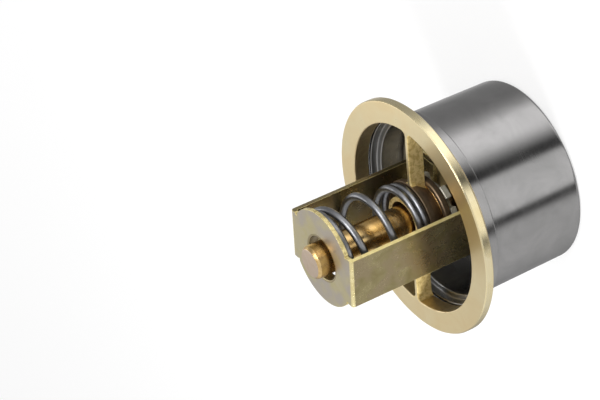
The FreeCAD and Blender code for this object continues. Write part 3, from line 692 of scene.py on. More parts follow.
@dataclass
class Casting:
    """Brass flange: ring, bridge with two spokes, hub and boss, in one piece."""

    rim: float
    front: float
    back: float
    boss_end: float
    bore: float = 27.0
    groove: tuple[float, float] = (27.5, 28.8)
    groove_depth: float = 1.2
    collar: float = 29.8
    rim_thickness: float = 2.7
    rim_edge: float = 0.4
    spoke_half: float = 0.65
    spoke_turn: float = math.radians(3.0)
    ring_round: float = 1.4
    hub: float = 10.8
    hub_back: float = 8.4
    hub_side: float = 1.4
    hub_round: float = 0.9
    seat_rise: float = 0.2
    boss: float = 7.0
    hub_bore: float = 5.7
    seat_edge: float = 0.3
    edge: float = 0.28
    back_edge: float = 0.12
    ring_steps: int = 72
    flare_steps: int = 16
    side_steps: int = 12
    root_steps: int = 10
    hub_steps: int = 48
    spoke_steps: int = 8
    edge_steps: int = 4
    depth_steps: int = 11

    def outline(self, hub: float, grow: float) -> tuple[Array, Array]:
        """Right-hand window in plan, from the hub's lowest angle round the ring and back.

        It is made of the ring's arc, two arcs into the spokes, the spokes' straight sides,
        two small arcs at the hub and the hub's arc. Each part moves into the metal by grow,
        which fades to nothing along the small arcs, so the hub's arc stays in its place.

        Args:
            hub: The hub's radius at this depth.
            grow: How far the edge is moved into the metal.

        Returns:
            The closed line's points, and for each point how much it belongs to ring and
            spokes, which is 0 on the hub.
        """
        wide = self.spoke_half + self.ring_round
        high = math.sqrt((self.bore - self.ring_round) ** 2 - wide**2)
        ring_turn = math.atan2(high, wide)
        near = self.spoke_half + self.hub_round
        low = math.sqrt((hub + self.hub_round) ** 2 - near**2)
        hub_turn = math.atan2(low, near)
        ring = arc((0, 0), self.bore + grow, 0.0, ring_turn, self.ring_steps)
        flare = arc((wide, high), self.ring_round + grow, ring_turn, math.pi, self.flare_steps)
        down = np.linspace(high, low, self.side_steps + 1)
        side = np.stack([np.full(len(down), self.spoke_half - grow), down], axis=-1)
        fade = np.cos(np.linspace(0, math.pi / 2, self.root_steps + 1))
        angle = np.linspace(math.pi, math.pi + hub_turn, self.root_steps + 1)
        small = self.hub_round + grow * fade
        root = np.stack([near + small * np.cos(angle), low + small * np.sin(angle)], axis=-1)
        hub_arc = arc((0, 0), hub, hub_turn, 0.0, self.hub_steps)
        half = np.concatenate([ring, flare[1:], side[1:], root[1:]])
        share = np.concatenate([np.ones(len(half) - self.root_steps), fade[1:]])
        upper = np.concatenate([half, hub_arc[1:]])
        line = np.concatenate([upper, upper[-2:0:-1] * (1, -1)])
        weight = np.concatenate([share, np.zeros(2 * self.hub_steps - 1), share[:0:-1]])
        return line, weight

    def turned_axes(self) -> Array:
        """Rows (cos t, sin t) and (-sin t, cos t), which turn plan points by the angle t."""
        cos, sin = math.cos(self.spoke_turn), math.sin(self.spoke_turn)
        return np.array([[cos, sin], [-sin, cos]])

    def hub_radius(self, height: float) -> float:
        """The hub's side is a cylinder in front and a cone towards the back.

        Args:
            height: A height between the bridge's back and front.

        Returns:
            The side's radius there.
        """
        cone_top = self.front - self.hub_side
        share = min(max((cone_top - height) / (cone_top - self.back), 0.0), 1.0)
        return self.hub + (self.hub_back - self.hub) * share

    def window_rows(self) -> list[tuple[float, float]]:
        """Height and growth of the window's outline at each depth.

        The front edge is a quarter circle of radius e: at an angle t it is e (1 - cos t)
        below the front and has grown by e (1 - sin t).

        Returns:
            One pair for each row of the wall, from the front to the back.
        """
        quarter = np.linspace(0, math.pi / 2, self.edge_steps + 1)
        rows = [
            (self.front - self.edge * (1 - math.cos(t)), self.edge * (1 - math.sin(t)))
            for t in quarter
        ]
        top, bottom = self.front - self.edge, self.back + self.back_edge
        rows += [(height, 0.0) for height in np.linspace(top, bottom, self.depth_steps + 1)[1:]]
        return rows + [(self.back, self.back_edge)]

    def window(self, skin: Skin, side: int) -> None:
        """Wall of one window: the plan's outline at a run of depths, its edges rounded.

        Args:
            skin: The casting's surfaces.
            side: 1 for the window towards +X, -1 for the other.
        """
        made = []
        for height, grow in self.window_rows():
            line, weight = self.outline(self.hub_radius(height), grow)
            line = line @ self.turned_axes() * side
            made.append(np.column_stack([line, np.full(len(line), height)]))
        points = np.stack(made)
        quads = grid_quads(len(points), points.shape[1], wrap_columns=True)
        on_ring = np.hypot(line[:, 0], line[:, 1]) > self.bore - MERGE_MM
        left = np.ones(len(quads), bool)
        # The hub's side takes the bronze with painted shade.
        for belongs, face in ((weight == 0, Face.THIRD), (on_ring, Face.FOURTH)):
            chosen = left & np.tile(belongs, len(points))[quads].any(axis=1)
            skin.add(points, quads[chosen], face)
            left &= ~chosen
        skin.add(points, quads[left], Face.SECOND)

    def rim_profile(self) -> Array:
        """Outside of the ring, from the front face round the rim, the collar and the groove.

        Returns:
            Radius and height of each point.
        """
        inner, outer = self.groove
        groove_top = self.back + self.groove_depth
        rim_back = self.front - self.rim_thickness
        cut = self.rim_edge
        return rounded([
            (self.rim - cut, self.front, 0),
            (self.rim - cut * 0.5, self.front, 0.1),
            (self.rim, self.front - cut, 0.1),
            (self.rim, rim_back + cut, 0.1),
            (self.rim - cut, rim_back, 0.1),
            (self.collar, rim_back, 0.15),
            (self.collar, self.back, 0.2),
            (outer, self.back, 0.05),
            (outer, groove_top, 0),
            (inner, groove_top, 0),
            (inner, self.back, 0),
        ], steps=4)

    def hub_profile(self) -> Array:
        """Spring's seat, boss and bore, from the bridge's front down to its back.

        Returns:
            Radius and height of each point.
        """
        seat = self.front + self.seat_rise
        return rounded([
            (self.hub, self.front, 0),
            (self.hub, seat, 0.15),
            (self.boss, seat, 0.25),
            (self.boss, self.boss_end, 0.2),
            (self.hub_bore, self.boss_end, 0.25),
            (self.hub_bore, self.back, 0),
        ], steps=4)

    def hub_angles(self) -> Array:
        """Angles of the hub's turned points.

        They are those of the windows' outlines on the hub, with even ones across the spokes
        between them, so that the hub's front edge meets the windows' walls point by point.

        Returns:
            Angles in radians, round the full turn.
        """
        line, _ = self.outline(self.hub, self.edge)
        angle = np.arctan2(line[:, 1], line[:, 0])
        on_hub = np.abs(np.hypot(line[:, 0], line[:, 1]) - self.hub) < MERGE_MM
        right = np.sort(angle[on_hub])
        gap = np.linspace(right[-1], math.pi - right[-1], self.spoke_steps + 1)[1:-1]
        return np.concatenate([right, gap, right + math.pi, gap + math.pi]) + self.spoke_turn

    def build(self) -> bpy.types.Object:
        """Make the casting.

        Returns:
            The closed piece: turned faces, cast walls, the hub's side and bore in bronze with
            painted shade, the ring's bore and the rim, in the order of Face.
        """
        skin = Skin("flange_turned")
        self.window(skin, 1)
        self.window(skin, -1)
        points, quads = lathe(self.rim_profile())
        reach = np.hypot(points[:, 0], points[:, 1])
        side = (reach > self.rim - self.rim_edge / 2)[quads].all(axis=1)
        skin.add(points, quads[~side])
        skin.add(points, quads[side], Face.FIFTH)
        points, quads = lathe(self.hub_profile(), self.hub_angles())
        reach = np.hypot(points[:, 0], points[:, 1])
        seat = (reach > self.hub - self.seat_edge)[quads].any(axis=1)
        bore = (reach < self.hub_bore + MERGE_MM)[quads].all(axis=1)
        boss = (reach < self.boss + MERGE_MM)[quads].all(axis=1) & ~bore
        skin.add(points, quads[~(seat | bore | boss)])
        skin.add(points, quads[boss], Face.SECOND)
        # The seat's edge and the bore take the bronze with painted shade.
        skin.add(points, quads[seat | bore], Face.THIRD)
        piece = skin.build(fills=(self.front, self.back))
        weigh_normals(piece)
        return piece


@dataclass
class Sleeve:
    """Drawn steel sleeve: a widened lip in front, a slight taper and a turned-in rear edge."""

    height: float
    lip: float
    wall: float = 1.1
    step: float = 1.8
    taper: float = 0.3
    lip_height: float = 3.2
    mouth_inset: float = 2.4
    rear_round: float = 1.3
    lip_points: int = 3

    def build(self) -> bpy.types.Object:
        """Make the sleeve.

        Its inside begins lip_points after the profile's first point at full height, which
        is part of the way round the lip's inner edge.

        Returns:
            The closed turned piece, its inside in the second material.
        """
        front = self.lip - self.step
        rear = front - self.taper
        back = self.height - self.lip_height
        wall = self.wall
        profile = rounded([
            (rear - self.mouth_inset, 0, 0.25),
            (rear, 0, self.rear_round),
            (front, back, 0.4),
            (self.lip, back, 0.5),
            (self.lip, self.height, 0.3),
            (self.lip - wall, self.height, 0.3),
            (self.lip - wall, back + wall, 0.5),
            (front - wall, back + wall, 0.4),
            (rear - wall, wall, 0.5),
            (rear - self.mouth_inset, wall, 0.25),
        ], closed=True)
        points, quads = lathe(profile, closed=True)
        column = quads[:, 0] % len(profile)
        first = int(np.argmax(profile[:, 1] >= self.height - MERGE_MM)) + self.lip_points
        inside = (column >= first) & (column < len(profile) - 1)
        skin = Skin("sleeve_drawn")
        skin.add(points, quads[~inside])
        skin.add(points, quads[inside], Face.SECOND)
        piece = skin.build()
        weigh_normals(piece)
        return piece


def turned(
    name: str, corners: list[Corner], centre_x: float = 0.0, second_from: float = math.inf
) -> bpy.types.Object:
    """Make a small turned piece.

    Args:
        name: The piece's name.
        corners: Radius, height and rounding of its closed half profile's corners.
        centre_x: Place of its axis along X.
        second_from: Height above which it takes its second material.

    Returns:
        The closed piece.
    """
    profile = rounded(corners, closed=True, steps=5)
    points, quads = lathe(profile, centre_x=centre_x, closed=True)
    second = (points[quads][..., 2] > second_from).all(axis=1)
    skin = Skin(name)
    skin.add(points, quads[~second])
    skin.add(points, quads[second], Face.SECOND)
    piece = skin.build()
    weigh_normals(piece)
    return piece


@dataclass
class SeatSeal:
    """Rubber ring in the flange's groove, rounder at the face that the sleeve closes on."""

    outer: float
    low: float
    high: float
    inner: float = 27.55
    face_round: float = 0.25
    groove_round: float = 0.1

    def build(self) -> bpy.types.Object:
        """Make the ring.

        Returns:
            The closed ring.
        """
        return turned("seal_ring", [
            (self.inner, self.low, self.face_round),
            (self.outer, self.low, self.face_round),
            (self.outer, self.high, self.groove_round),
            (self.inner, self.high, self.groove_round),
        ])


@dataclass
class WaxCapsule:
    """Copper cup with a thin collar at its foot and a sloping shoulder at its end."""

    collar: float
    low: float
    high: float
    cup: float = 4.65
    end: float = 3.95
    collar_height: float = 0.8
    shoulder: float = 0.7
    end_layer: float = 0.05

    def build(self) -> bpy.types.Object:
        """Make the cup.

        Returns:
            The closed cup, its end face in the second material.
        """
        collar_top = self.low + self.collar_height
        return turned("capsule_cup", [
            (0, self.low, 0),
            (self.collar, self.low, 0.1),
            (self.collar, collar_top, 0.1),
            (self.cup, collar_top, 0.3),
            (self.cup, self.high - self.shoulder, 0.25),
            (self.end, self.high, 0.25),
            (0, self.high, 0),
        ], second_from=self.high - self.end_layer)


@dataclass
class ElementGuide:
    """Turned guide: a tube for the piston, a wider body and a rim crimped on the collar."""

    outer: float
    low: float
    high: float
    bore: float = 2.3
    tube: float = 4.3
    body: float = 7.2
    recess: float = 8.85
    rim_height: float = 2.0
    body_height: float = 2.0
    recess_floor: float = 1.2

    def rim_back(self) -> float:
        """Height of the rim's back face, behind which the clip lies."""
        return self.high - self.rim_height

    def build(self) -> bpy.types.Object:
        """Make the guide.

        Returns:
            The closed guide.
        """
        floor = self.rim_back()
        body_low = floor - self.body_height
        return turned("guide_turned", [
            (self.bore, self.low, 0.1),
            (self.tube, self.low, 0.3),
            (self.tube, body_low, 0.15),
            (self.body, body_low, 0.3),
            (self.body, floor, 0.15),
            (self.outer, floor, 0.6),
            (self.outer, self.high, 0.6),
            (self.recess, self.high, 0.1),
            (self.recess, floor + self.recess_floor, 0),
            (self.bore, floor + self.recess_floor, 0),
        ])


@dataclass
class ClipRing:
    """Pale ring behind the guide's rim, with notches in its outer edge.

    Each notch is given by its middle angle and half its width, in degrees.
    """

    low: float
    high: float
    inner: float = 7.25
    outer: float = 10.1
    edge: float = 0.12
    notch_depth: float = 2.3
    notches: tuple[tuple[float, float], ...] = (
        (220.0, 7.5), (270.0, 20.0), (340.0, 7.5), (100.0, 7.5),
    )
    flank: float = 1.5

    def build(self) -> bpy.types.Object:
        """Make the ring: its outer radius falls by the notch's depth near each notch's angle.

        Returns:
            The closed ring.
        """
        angles = np.linspace(0, 2 * math.pi, 2 * TURN_STEPS, endpoint=False)
        middle, half = np.array(self.notches).T
        apart = np.abs((np.degrees(angles)[:, None] - middle + 180.0) % 360.0 - 180.0)
        share = np.clip((half - apart) / self.flank + 0.5, 0.0, 1.0).max(axis=1)
        outer = self.outer - self.notch_depth * share
        inner = np.full_like(outer, self.inner)
        profile = [
            (inner, self.low), (outer - self.edge, self.low), (outer, self.low + self.edge),
            (outer, self.high - self.edge), (outer - self.edge, self.high), (inner, self.high),
        ]
        cos, sin = np.cos(angles), np.sin(angles)
        points = np.stack([
            np.stack([radius * cos, radius * sin, np.full_like(radius, height)], axis=-1)
            for radius, height in profile
        ], axis=1)
        skin = Skin("retaining_ring")
        skin.add(points, grid_quads(len(angles), len(profile), wrap_rows=True, wrap_columns=True))
        return skin.build()


@dataclass
class Stirrup:
    """Folded sheet: an end plate with round sides and a hole, two arms and two feet."""

    half_span: float
    disc: float
    foot_level: float
    top: float
    half_width: float = 7.5
    sheet: float = 1.2
    inside_bend: float = 0.3
    outside_bend: float = 0.8
    hole: float = 6.2
    hole_round: float = 0.35
    collar_wall: float = 1.0
    collar_depth: float = 1.8
    foot_end: float = 7.5
    relief: float = 0.32
    across: int = 24
    bend_steps: int = 8
    notch_steps: int = 14
    disc_steps: int = 48
    burr: float = 0.18

    def joint_x(self) -> float:
        """Distance from the axis at which the flat plate becomes the bend."""
        return self.half_span - self.sheet - self.inside_bend

    def plate_outline(self) -> Array:
        """Outline of the end plate in plan.

        One quadrant is the straight joint with the arm, the notch's arc and the disc's arc.
        The other three are its mirror images.

        Returns:
            Points of the closed line.
        """
        corner = math.sqrt(self.disc**2 - self.half_width**2)
        rise = np.linspace(0, self.half_width, self.across // 2 + 1)
        line = np.stack([np.full(len(rise), self.joint_x()), rise], axis=-1)
        spread = 2 * math.asin(self.relief / self.disc / 2)
        start = math.atan2(self.half_width, corner) + spread
        last_x = self.disc * math.cos(start) - corner
        last_y = self.disc * math.sin(start) - self.half_width
        turn = math.atan2(last_y, last_x) - 2 * math.pi
        notch = arc((corner, self.half_width), self.relief, 0.0, turn, self.notch_steps)
        sweep = arc((0, 0), self.disc, start, math.pi / 2, self.disc_steps)
        quadrant = np.concatenate([line, notch, sweep[1:]])
        upper = np.concatenate([quadrant, quadrant[-2::-1] * (-1, 1)])
        return np.concatenate([upper, upper[-2:0:-1] * (1, -1)])

    def collar_profile(self) -> Array:
        """Hole's rounded edge, then the inner wall, end and outer wall of its drawn collar.

        Returns:
            Radius and height of each point.
        """
        base = self.top - self.sheet - self.collar_depth
        outer = self.hole + self.collar_wall
        return rounded([
            (self.hole + 2 * self.hole_round, self.top, 0),
            (self.hole, self.top, self.hole_round),
            (self.hole, base, 0.15),
            (outer, base, 0.15),
            (outer, self.top - self.sheet, 0),
        ])

    def plate(self, skin: Skin) -> None:
        """End plate's collar and its free cut edge, whose open edges bound the flat faces.

        Args:
            skin: The stirrup's surfaces.
        """
        points, quads = lathe(self.collar_profile())
        skin.add(points, quads, Face.THIRD)
        outline = self.plate_outline()
        levels = (self.top, self.top - self.sheet)
        rows = [np.column_stack([outline, np.full(len(outline), z)]) for z in levels]
        joined = (np.abs(np.abs(outline[:, 0]) - self.joint_x()) < MERGE_MM) & (
            np.abs(outline[:, 1]) < self.half_width + MERGE_MM
        )
        free = ~(joined & np.roll(joined, -1))
        quads = grid_quads(2, len(outline), wrap_columns=True)
        skin.add(np.stack(rows), quads[free], Face.SECOND)

    def arm(self, skin: Skin, side: int) -> None:
        """Arm: an outer and an inner path, from the plate round both bends to the foot.

        Both paths have the same number of points and are carried along Y, and strips of
        cut edge join them at both sides and at the foot's end.

        Args:
            skin: The stirrup's surfaces.
            side: 1 for the arm towards +X, -1 for the other.
        """
        start, low = self.joint_x(), self.foot_level
        y = np.linspace(-self.half_width, self.half_width, self.across + 1)
        faces = []
        for inset, radius in ((0.0, self.outside_bend), (self.sheet, self.inside_bend)):
            path = rounded([
                (start, self.top - inset, 0),
                (self.half_span - inset, self.top - inset, radius),
                (self.half_span - inset, low + inset, radius),
                (self.foot_end, low + inset, 0),
            ], steps=self.bend_steps)
            x = np.broadcast_to(path[:, :1] * side, (len(path), len(y)))
            z = np.broadcast_to(path[:, 1:], x.shape)
            faces.append(np.stack([x, np.broadcast_to(y, x.shape), z], axis=-1))
        outer, inner = faces
        quads = grid_quads(len(outer), len(y))
        row = quads[:, 0] // len(y)
        bend = (row > 0) & (row <= self.bend_steps)
        skin.add(outer, quads[row == 0])
        # The outer bend takes a painted highlight.
        skin.add(outer, quads[bend], Face.FIFTH)
        # Beyond the bend and on the inside the arm takes the darker sheet with painted shade.
        skin.add(outer, quads[row > self.bend_steps], Face.THIRD)
        skin.add(inner, quads[:, ::-1], Face.THIRD)
        strip = grid_quads(2, len(outer))
        # The near arm's side edges take a painted highlight, the far arm's the darker sheet with
        # painted shade.
        edge = Face.FOURTH if side < 0 else Face.THIRD
        skin.add(np.stack([outer[:, 0], inner[:, 0]]), strip, edge)
        skin.add(np.stack([outer[:, -1], inner[:, -1]]), strip[:, ::-1], edge)
        skin.add(np.stack([outer[-1], inner[-1]]), grid_quads(2, len(y)), Face.SECOND)

    def build(self) -> bpy.types.Object:
        """Make the stirrup.

        Returns:
            The closed sheet: plate, cut edges, arms with painted shade, the near arm's side
            edges with a painted highlight and outer bends with a painted highlight, in the
            order of Face.
        """
        skin = Skin("stirrup_folded")
        self.plate(skin)
        self.arm(skin, 1)
        self.arm(skin, -1)
        piece = skin.build(fills=(self.top, self.top - self.sheet))
        burr_edges(piece, self.burr)
        weigh_normals(piece)
        return piece


@dataclass
class Crossbar:
    """Pressed strip across the sleeve with its ends bent down along the wall."""

    reach: float
    half_width: float
    top: float
    base: float
    sheet: float = 1.6
    bend: float = 1.0
    burr: float = 0.2
    across: int = 24
    bend_steps: int = 8
    flat_steps: int = 11
    down_steps: int = 7

    def under(self) -> float:
        """Height of the strip's underside between its ends."""
        return self.top - self.sheet

    def build(self) -> bpy.types.Object:
        """Make the crossbar.

        Its middle surface runs straight out from the axis, turns through a quarter circle
        and goes down at a distance from the axis that follows the sleeve: x is the root of
        the wall's radius squared less y squared.

        Returns:
            The sheet's middle surface with its thickness as a modifier.
        """
        middle = self.sheet / 2
        y = np.linspace(-self.half_width, self.half_width, self.across + 1)
        wall = np.sqrt((self.reach - middle) ** 2 - y**2)
        level = self.top - middle
        turn = np.linspace(0, math.pi / 2, self.bend_steps + 1)[1:, None]
        straight = np.linspace(0, 1, self.flat_steps + 1)[:, None] * (wall - self.bend)
        curve_x = wall - self.bend + self.bend * np.sin(turn)
        curve_z = level - self.bend + self.bend * np.cos(turn) + 0 * y
        down = np.linspace(level - self.bend, self.base, self.down_steps + 1)[1:, None] + 0 * y
        x = np.concatenate([straight, curve_x, np.broadcast_to(wall, down.shape)])
        z = np.concatenate([np.full(straight.shape, level), curve_z, down])
        points = np.stack([x, np.broadcast_to(y, x.shape), z], axis=-1)
        quads = grid_quads(len(x), len(y))
        skin = Skin("crossbar_pressed")
        skin.add(points, quads[:, ::-1])
        skin.add(points * (-1, 1, 1), quads)
        piece = skin.build()
        thicken(piece, self.sheet)
        burr_edges(piece, self.burr)
        weigh_normals(piece)
        return piece


@dataclass
class PistonSeat:
    """Turned cup for the piston's end, with a shoulder on either side of the crossbar."""

    outer: float
    low: float
    high: float
    bar_low: float
    bar_high: float
    socket_floor: float
    head: float = 3.7
    neck: float = 2.9
    socket: float = 2.3

    def build(self) -> bpy.types.Object:
        """Make the seat.

        Returns:
            The closed cup.
        """
        return turned("seat_turned", [
            (0, self.low, 0),
            (self.head, self.low, 0.4),
            (self.head, self.bar_low, 0),
            (self.neck, self.bar_low, 0),
            (self.neck, self.bar_high, 0),
            (self.outer, self.bar_high, 0),
            (self.outer, self.high, 0.3),
            (self.socket, self.high, 0.15),
            (self.socket, self.socket_floor, 0),
            (0, self.socket_floor, 0),
        ])


@dataclass
class Piston:
    """Ground steel pin with a chamfer at both ends."""

    radius: float
    low: float
    high: float
    chamfer: float = 0.4
    chamfer_round: float = 0.1

    def build(self) -> bpy.types.Object:
        """Make the pin.

        Returns:
            The closed pin.
        """
        narrow, soft = self.radius - self.chamfer, self.chamfer_round
        return turned("piston_pin", [
            (0, self.low, 0),
            (narrow, self.low, soft),
            (self.radius, self.low + self.chamfer, soft),
            (self.radius, self.high - self.chamfer, soft),
            (narrow, self.high, soft),
            (0, self.high, 0),
        ])


@dataclass
class Rivet:
    """Rivet with a soft head at both ends."""

    name: str
    centre_x: float
    head: float
    low: float
    high: float
    shank: float = 1.5
    head_height: float = 1.0
    head_round: float = 0.6
    head_edge: float = 0.05

    def build(self) -> bpy.types.Object:
        """Make the rivet.

        Returns:
            The closed rivet.
        """
        lower, upper = self.low + self.head_height, self.high - self.head_height
        return turned(self.name, [
            (0, self.low, 0),
            (self.head, self.low, self.head_round),
            (self.head, lower, self.head_edge),
            (self.shank, lower, 0),
            (self.shank, upper, 0),
            (self.head, upper, self.head_edge),
            (self.head, self.high, self.head_round),
            (0, self.high, 0),
        ], self.centre_x)


@dataclass
class Spring:
    """Steel wire spring, narrow on the hub and wide under the end plate.

    The places along the coil are in turns: first and last are its ends, the close turn lies
    between lift and open, the coil widens between widen and wide, and the open turns end
    at closed. The rise leans to one side up to even, and less and less over the next turn.
    """

    low: float
    high: float
    wire: float = 1.05
    small: float = 9.65
    large: float = 11.75
    gap: float = 0.05
    lean: float = 0.75
    first: float = -0.7083
    lift: float = 0.0
    widen: float = 0.6
    open: float = 1.2
    even: float = 2.2
    wide: float = 2.6
    closed: float = 3.3
    last: float = 4.2083
    ease: float = 0.3
    per_turn: int = 144
    sides: int = 28
    end_shares: tuple[float, ...] = (0.0, 0.55, 0.85, 0.97)
    end_insets: tuple[float, ...] = (0.0, 0.0, 0.03, 0.10)

    @staticmethod
    def step(value: Array) -> Array:
        """0 below 0, 1 above 1 and 3 v^2 - 2 v^3 between."""
        value = np.clip(value, 0.0, 1.0)
        return value * value * (3.0 - 2.0 * value)

    def past(self, turn: Array, mark: float) -> Array:
        """0 before a turn and 1 after it, eased."""
        return self.step((turn - mark) / self.ease + 0.5)

    def centre_line(self) -> Array:
        """Middle of the wire.

        The wire rises slowly over its close turn and fast over the open ones, there more
        on one side than on the other, and its height is the running sum of that rise.

        Returns:
            Points along the coil.
        """
        count = round((self.last - self.first) * self.per_turn) + 1
        turn = np.linspace(self.first, self.last, count)
        close = self.past(turn, self.lift) - self.past(turn, self.open)
        lean = self.lean * (1.0 - self.step(turn - self.even))
        share = self.past(turn, self.open) - self.past(turn, self.closed)
        share = share * (1.0 - lean * np.cos(2 * math.pi * turn))
        low, high = self.low + self.wire, self.high - self.wire
        spacing = turn[1] - turn[0]
        close_rise = (2 * self.wire + self.gap) * np.cumsum(close) * spacing
        open_rise = np.cumsum(share) * spacing
        height = low + close_rise + open_rise / open_rise[-1] * (high - low - close_rise[-1])
        wider = self.step((turn - self.widen) / (self.wide - self.widen))
        radius = self.small + (self.large - self.small) * wider
        angle = -math.pi / 2 + 2 * math.pi * turn
        return np.stack([radius * np.cos(angle), radius * np.sin(angle), height], axis=-1)

    def build(self) -> bpy.types.Object:
        """Make the wire: a circle carried square to the coil's middle line.

        One axis of the circle is the direction away from the coil's axis, made square to
        the wire, and the other is square to both. The ends are sheared off with a fine edge.

        Returns:
            The closed wire.
        """
        line = self.centre_line()
        along = np.gradient(line, axis=0)
        along /= np.linalg.norm(along, axis=1)[:, None]
        out = line * (1, 1, 0)
        out /= np.linalg.norm(out, axis=1)[:, None]
        out -= (out * along).sum(1)[:, None] * along
        out /= np.linalg.norm(out, axis=1)[:, None]
        up = np.cross(along, out)
        ends, inset = np.array(self.end_shares), np.array(self.end_insets)[:, None]
        copies = np.ones(len(line), int)
        copies[[0, -1]] = len(ends)
        out, up = np.repeat(out, copies, axis=0), np.repeat(up, copies, axis=0)
        start = line[0] + inset * along[0]
        finish = line[-1] - inset[::-1] * along[-1]
        line = np.concatenate([start, line[1:-1], finish])
        radius = np.concatenate([ends, np.ones(len(line) - 2 * len(ends)), ends[::-1]]) * self.wire
        angle = np.linspace(0, 2 * math.pi, self.sides, endpoint=False)
        ring = out[:, None] * np.cos(angle)[:, None] + up[:, None] * np.sin(angle)[:, None]
        points = line[:, None] + ring * radius[:, None, None]
        skin = Skin("spring_wire")
        skin.add(points, grid_quads(len(line), self.sides, wrap_columns=True))
        return skin.build()


# Studio


@dataclass(frozen=True)
class CameraPlace:
    """Camera at the photograph's angle, with the roll that lays the valve on its side."""

    place: tuple[float, float, float] = (-0.4127, -0.3835, 0.3158)
    right: tuple[float, float, float] = (-0.5431, 0.0531, -0.8380)
    up: tuple[float, float, float] = (0.4830, -0.7966, -0.3636)
    back: tuple[float, float, float] = (-0.6868, -0.6022, 0.4069)
    focal_pixels: float = 2356.0
    sensor_mm: float = 36.0
    clip: tuple[float, float] = (0.01, 20.0)

    def build(self) -> bpy.types.Object:
        """Make the camera and let the scene use it.

        Returns:
            The camera.
        """
        data = bpy.data.cameras.new("camera")
        data.sensor_fit = "HORIZONTAL"
        data.sensor_width = self.sensor_mm
        data.lens = self.focal_pixels / FRAME_PIXELS[0] * self.sensor_mm
        data.clip_start, data.clip_end = self.clip
        camera = bpy.data.objects.new("camera", data)
        columns = Matrix((self.right, self.up, self.back)).transposed()
        camera.matrix_world = Matrix.Translation(self.place) @ columns.to_4x4()
        bpy.context.scene.collection.objects.link(camera)
        bpy.context.scene.camera = camera
        return camera


@dataclass(frozen=True)
class Lamp:
    """Soft square lamp that looks at the valve from a direction."""

    name: str
    toward: tuple[float, float, float]
    distance: float
    width: float
    power: float
    mirrored: bool = True
    aim: tuple[float, float, float] = (0.0, 0.0, 0.035)

    def build(self) -> bpy.types.Object:
        """Make the lamp.

        Returns:
            The lamp.
        """
        data = bpy.data.lights.new(self.name, "AREA")
        data.shape = "RECTANGLE"
        data.size = data.size_y = self.width
        data.energy = self.power
        lamp = bpy.data.objects.new(self.name, data)
        direction = np.array(self.toward) / np.linalg.norm(self.toward)
        lamp.rotation_mode = "QUATERNION"
        lamp.rotation_quaternion = Vector(direction).to_track_quat("Z", "Y")
        lamp.location = np.array(self.aim) + direction * self.distance
        lamp.visible_glossy = self.mirrored
        bpy.context.scene.collection.objects.link(lamp)
        return lamp


LAMPS = (
    Lamp("key", toward=(-0.25, -0.85, 1.0), distance=0.9, width=0.5, power=4.0),
    Lamp("fill", toward=(0.9, 0.2, 0.8), distance=1.0, width=0.6, power=1.8),
    Lamp("bounce", toward=(-0.6, 0.75, 0.35), distance=0.3, width=0.12, power=1.1, mirrored=False),
)

# Angle round the horizon in degrees, and brightness, of the tent's panels

LOW_RING = [
    (0, 0.24), (11, 0.27), (23, 0.42), (34, 0.48), (46, 0.22), (75, 0.27), (95, 0.42),
    (118, 0.52), (143, 0.54), (160, 0.56), (166, 0.50), (172, 0.01), (179.5, 0.01),
    (182.5, 0.80), (205, 0.78), (225.5, 0.72), (231, 0.02), (240, 0.02), (247, 0.25),
    (253, 0.50), (259, 0.78), (266, 1.02), (288, 0.98), (299, 0.55), (311, 0.30),
    (323, 0.24), (347, 0.24), (360, 0.24),
]
HIGH_RING = [
    (0, 0.42), (30, 0.50), (60, 0.50), (85, 0.50), (105, 0.65), (150, 0.55), (175, 0.5),
    (205, 0.6), (225, 0.25), (245, 0.3), (262, 0.8), (290, 0.75), (312, 0.25), (335, 0.25),
    (360, 0.42),
]


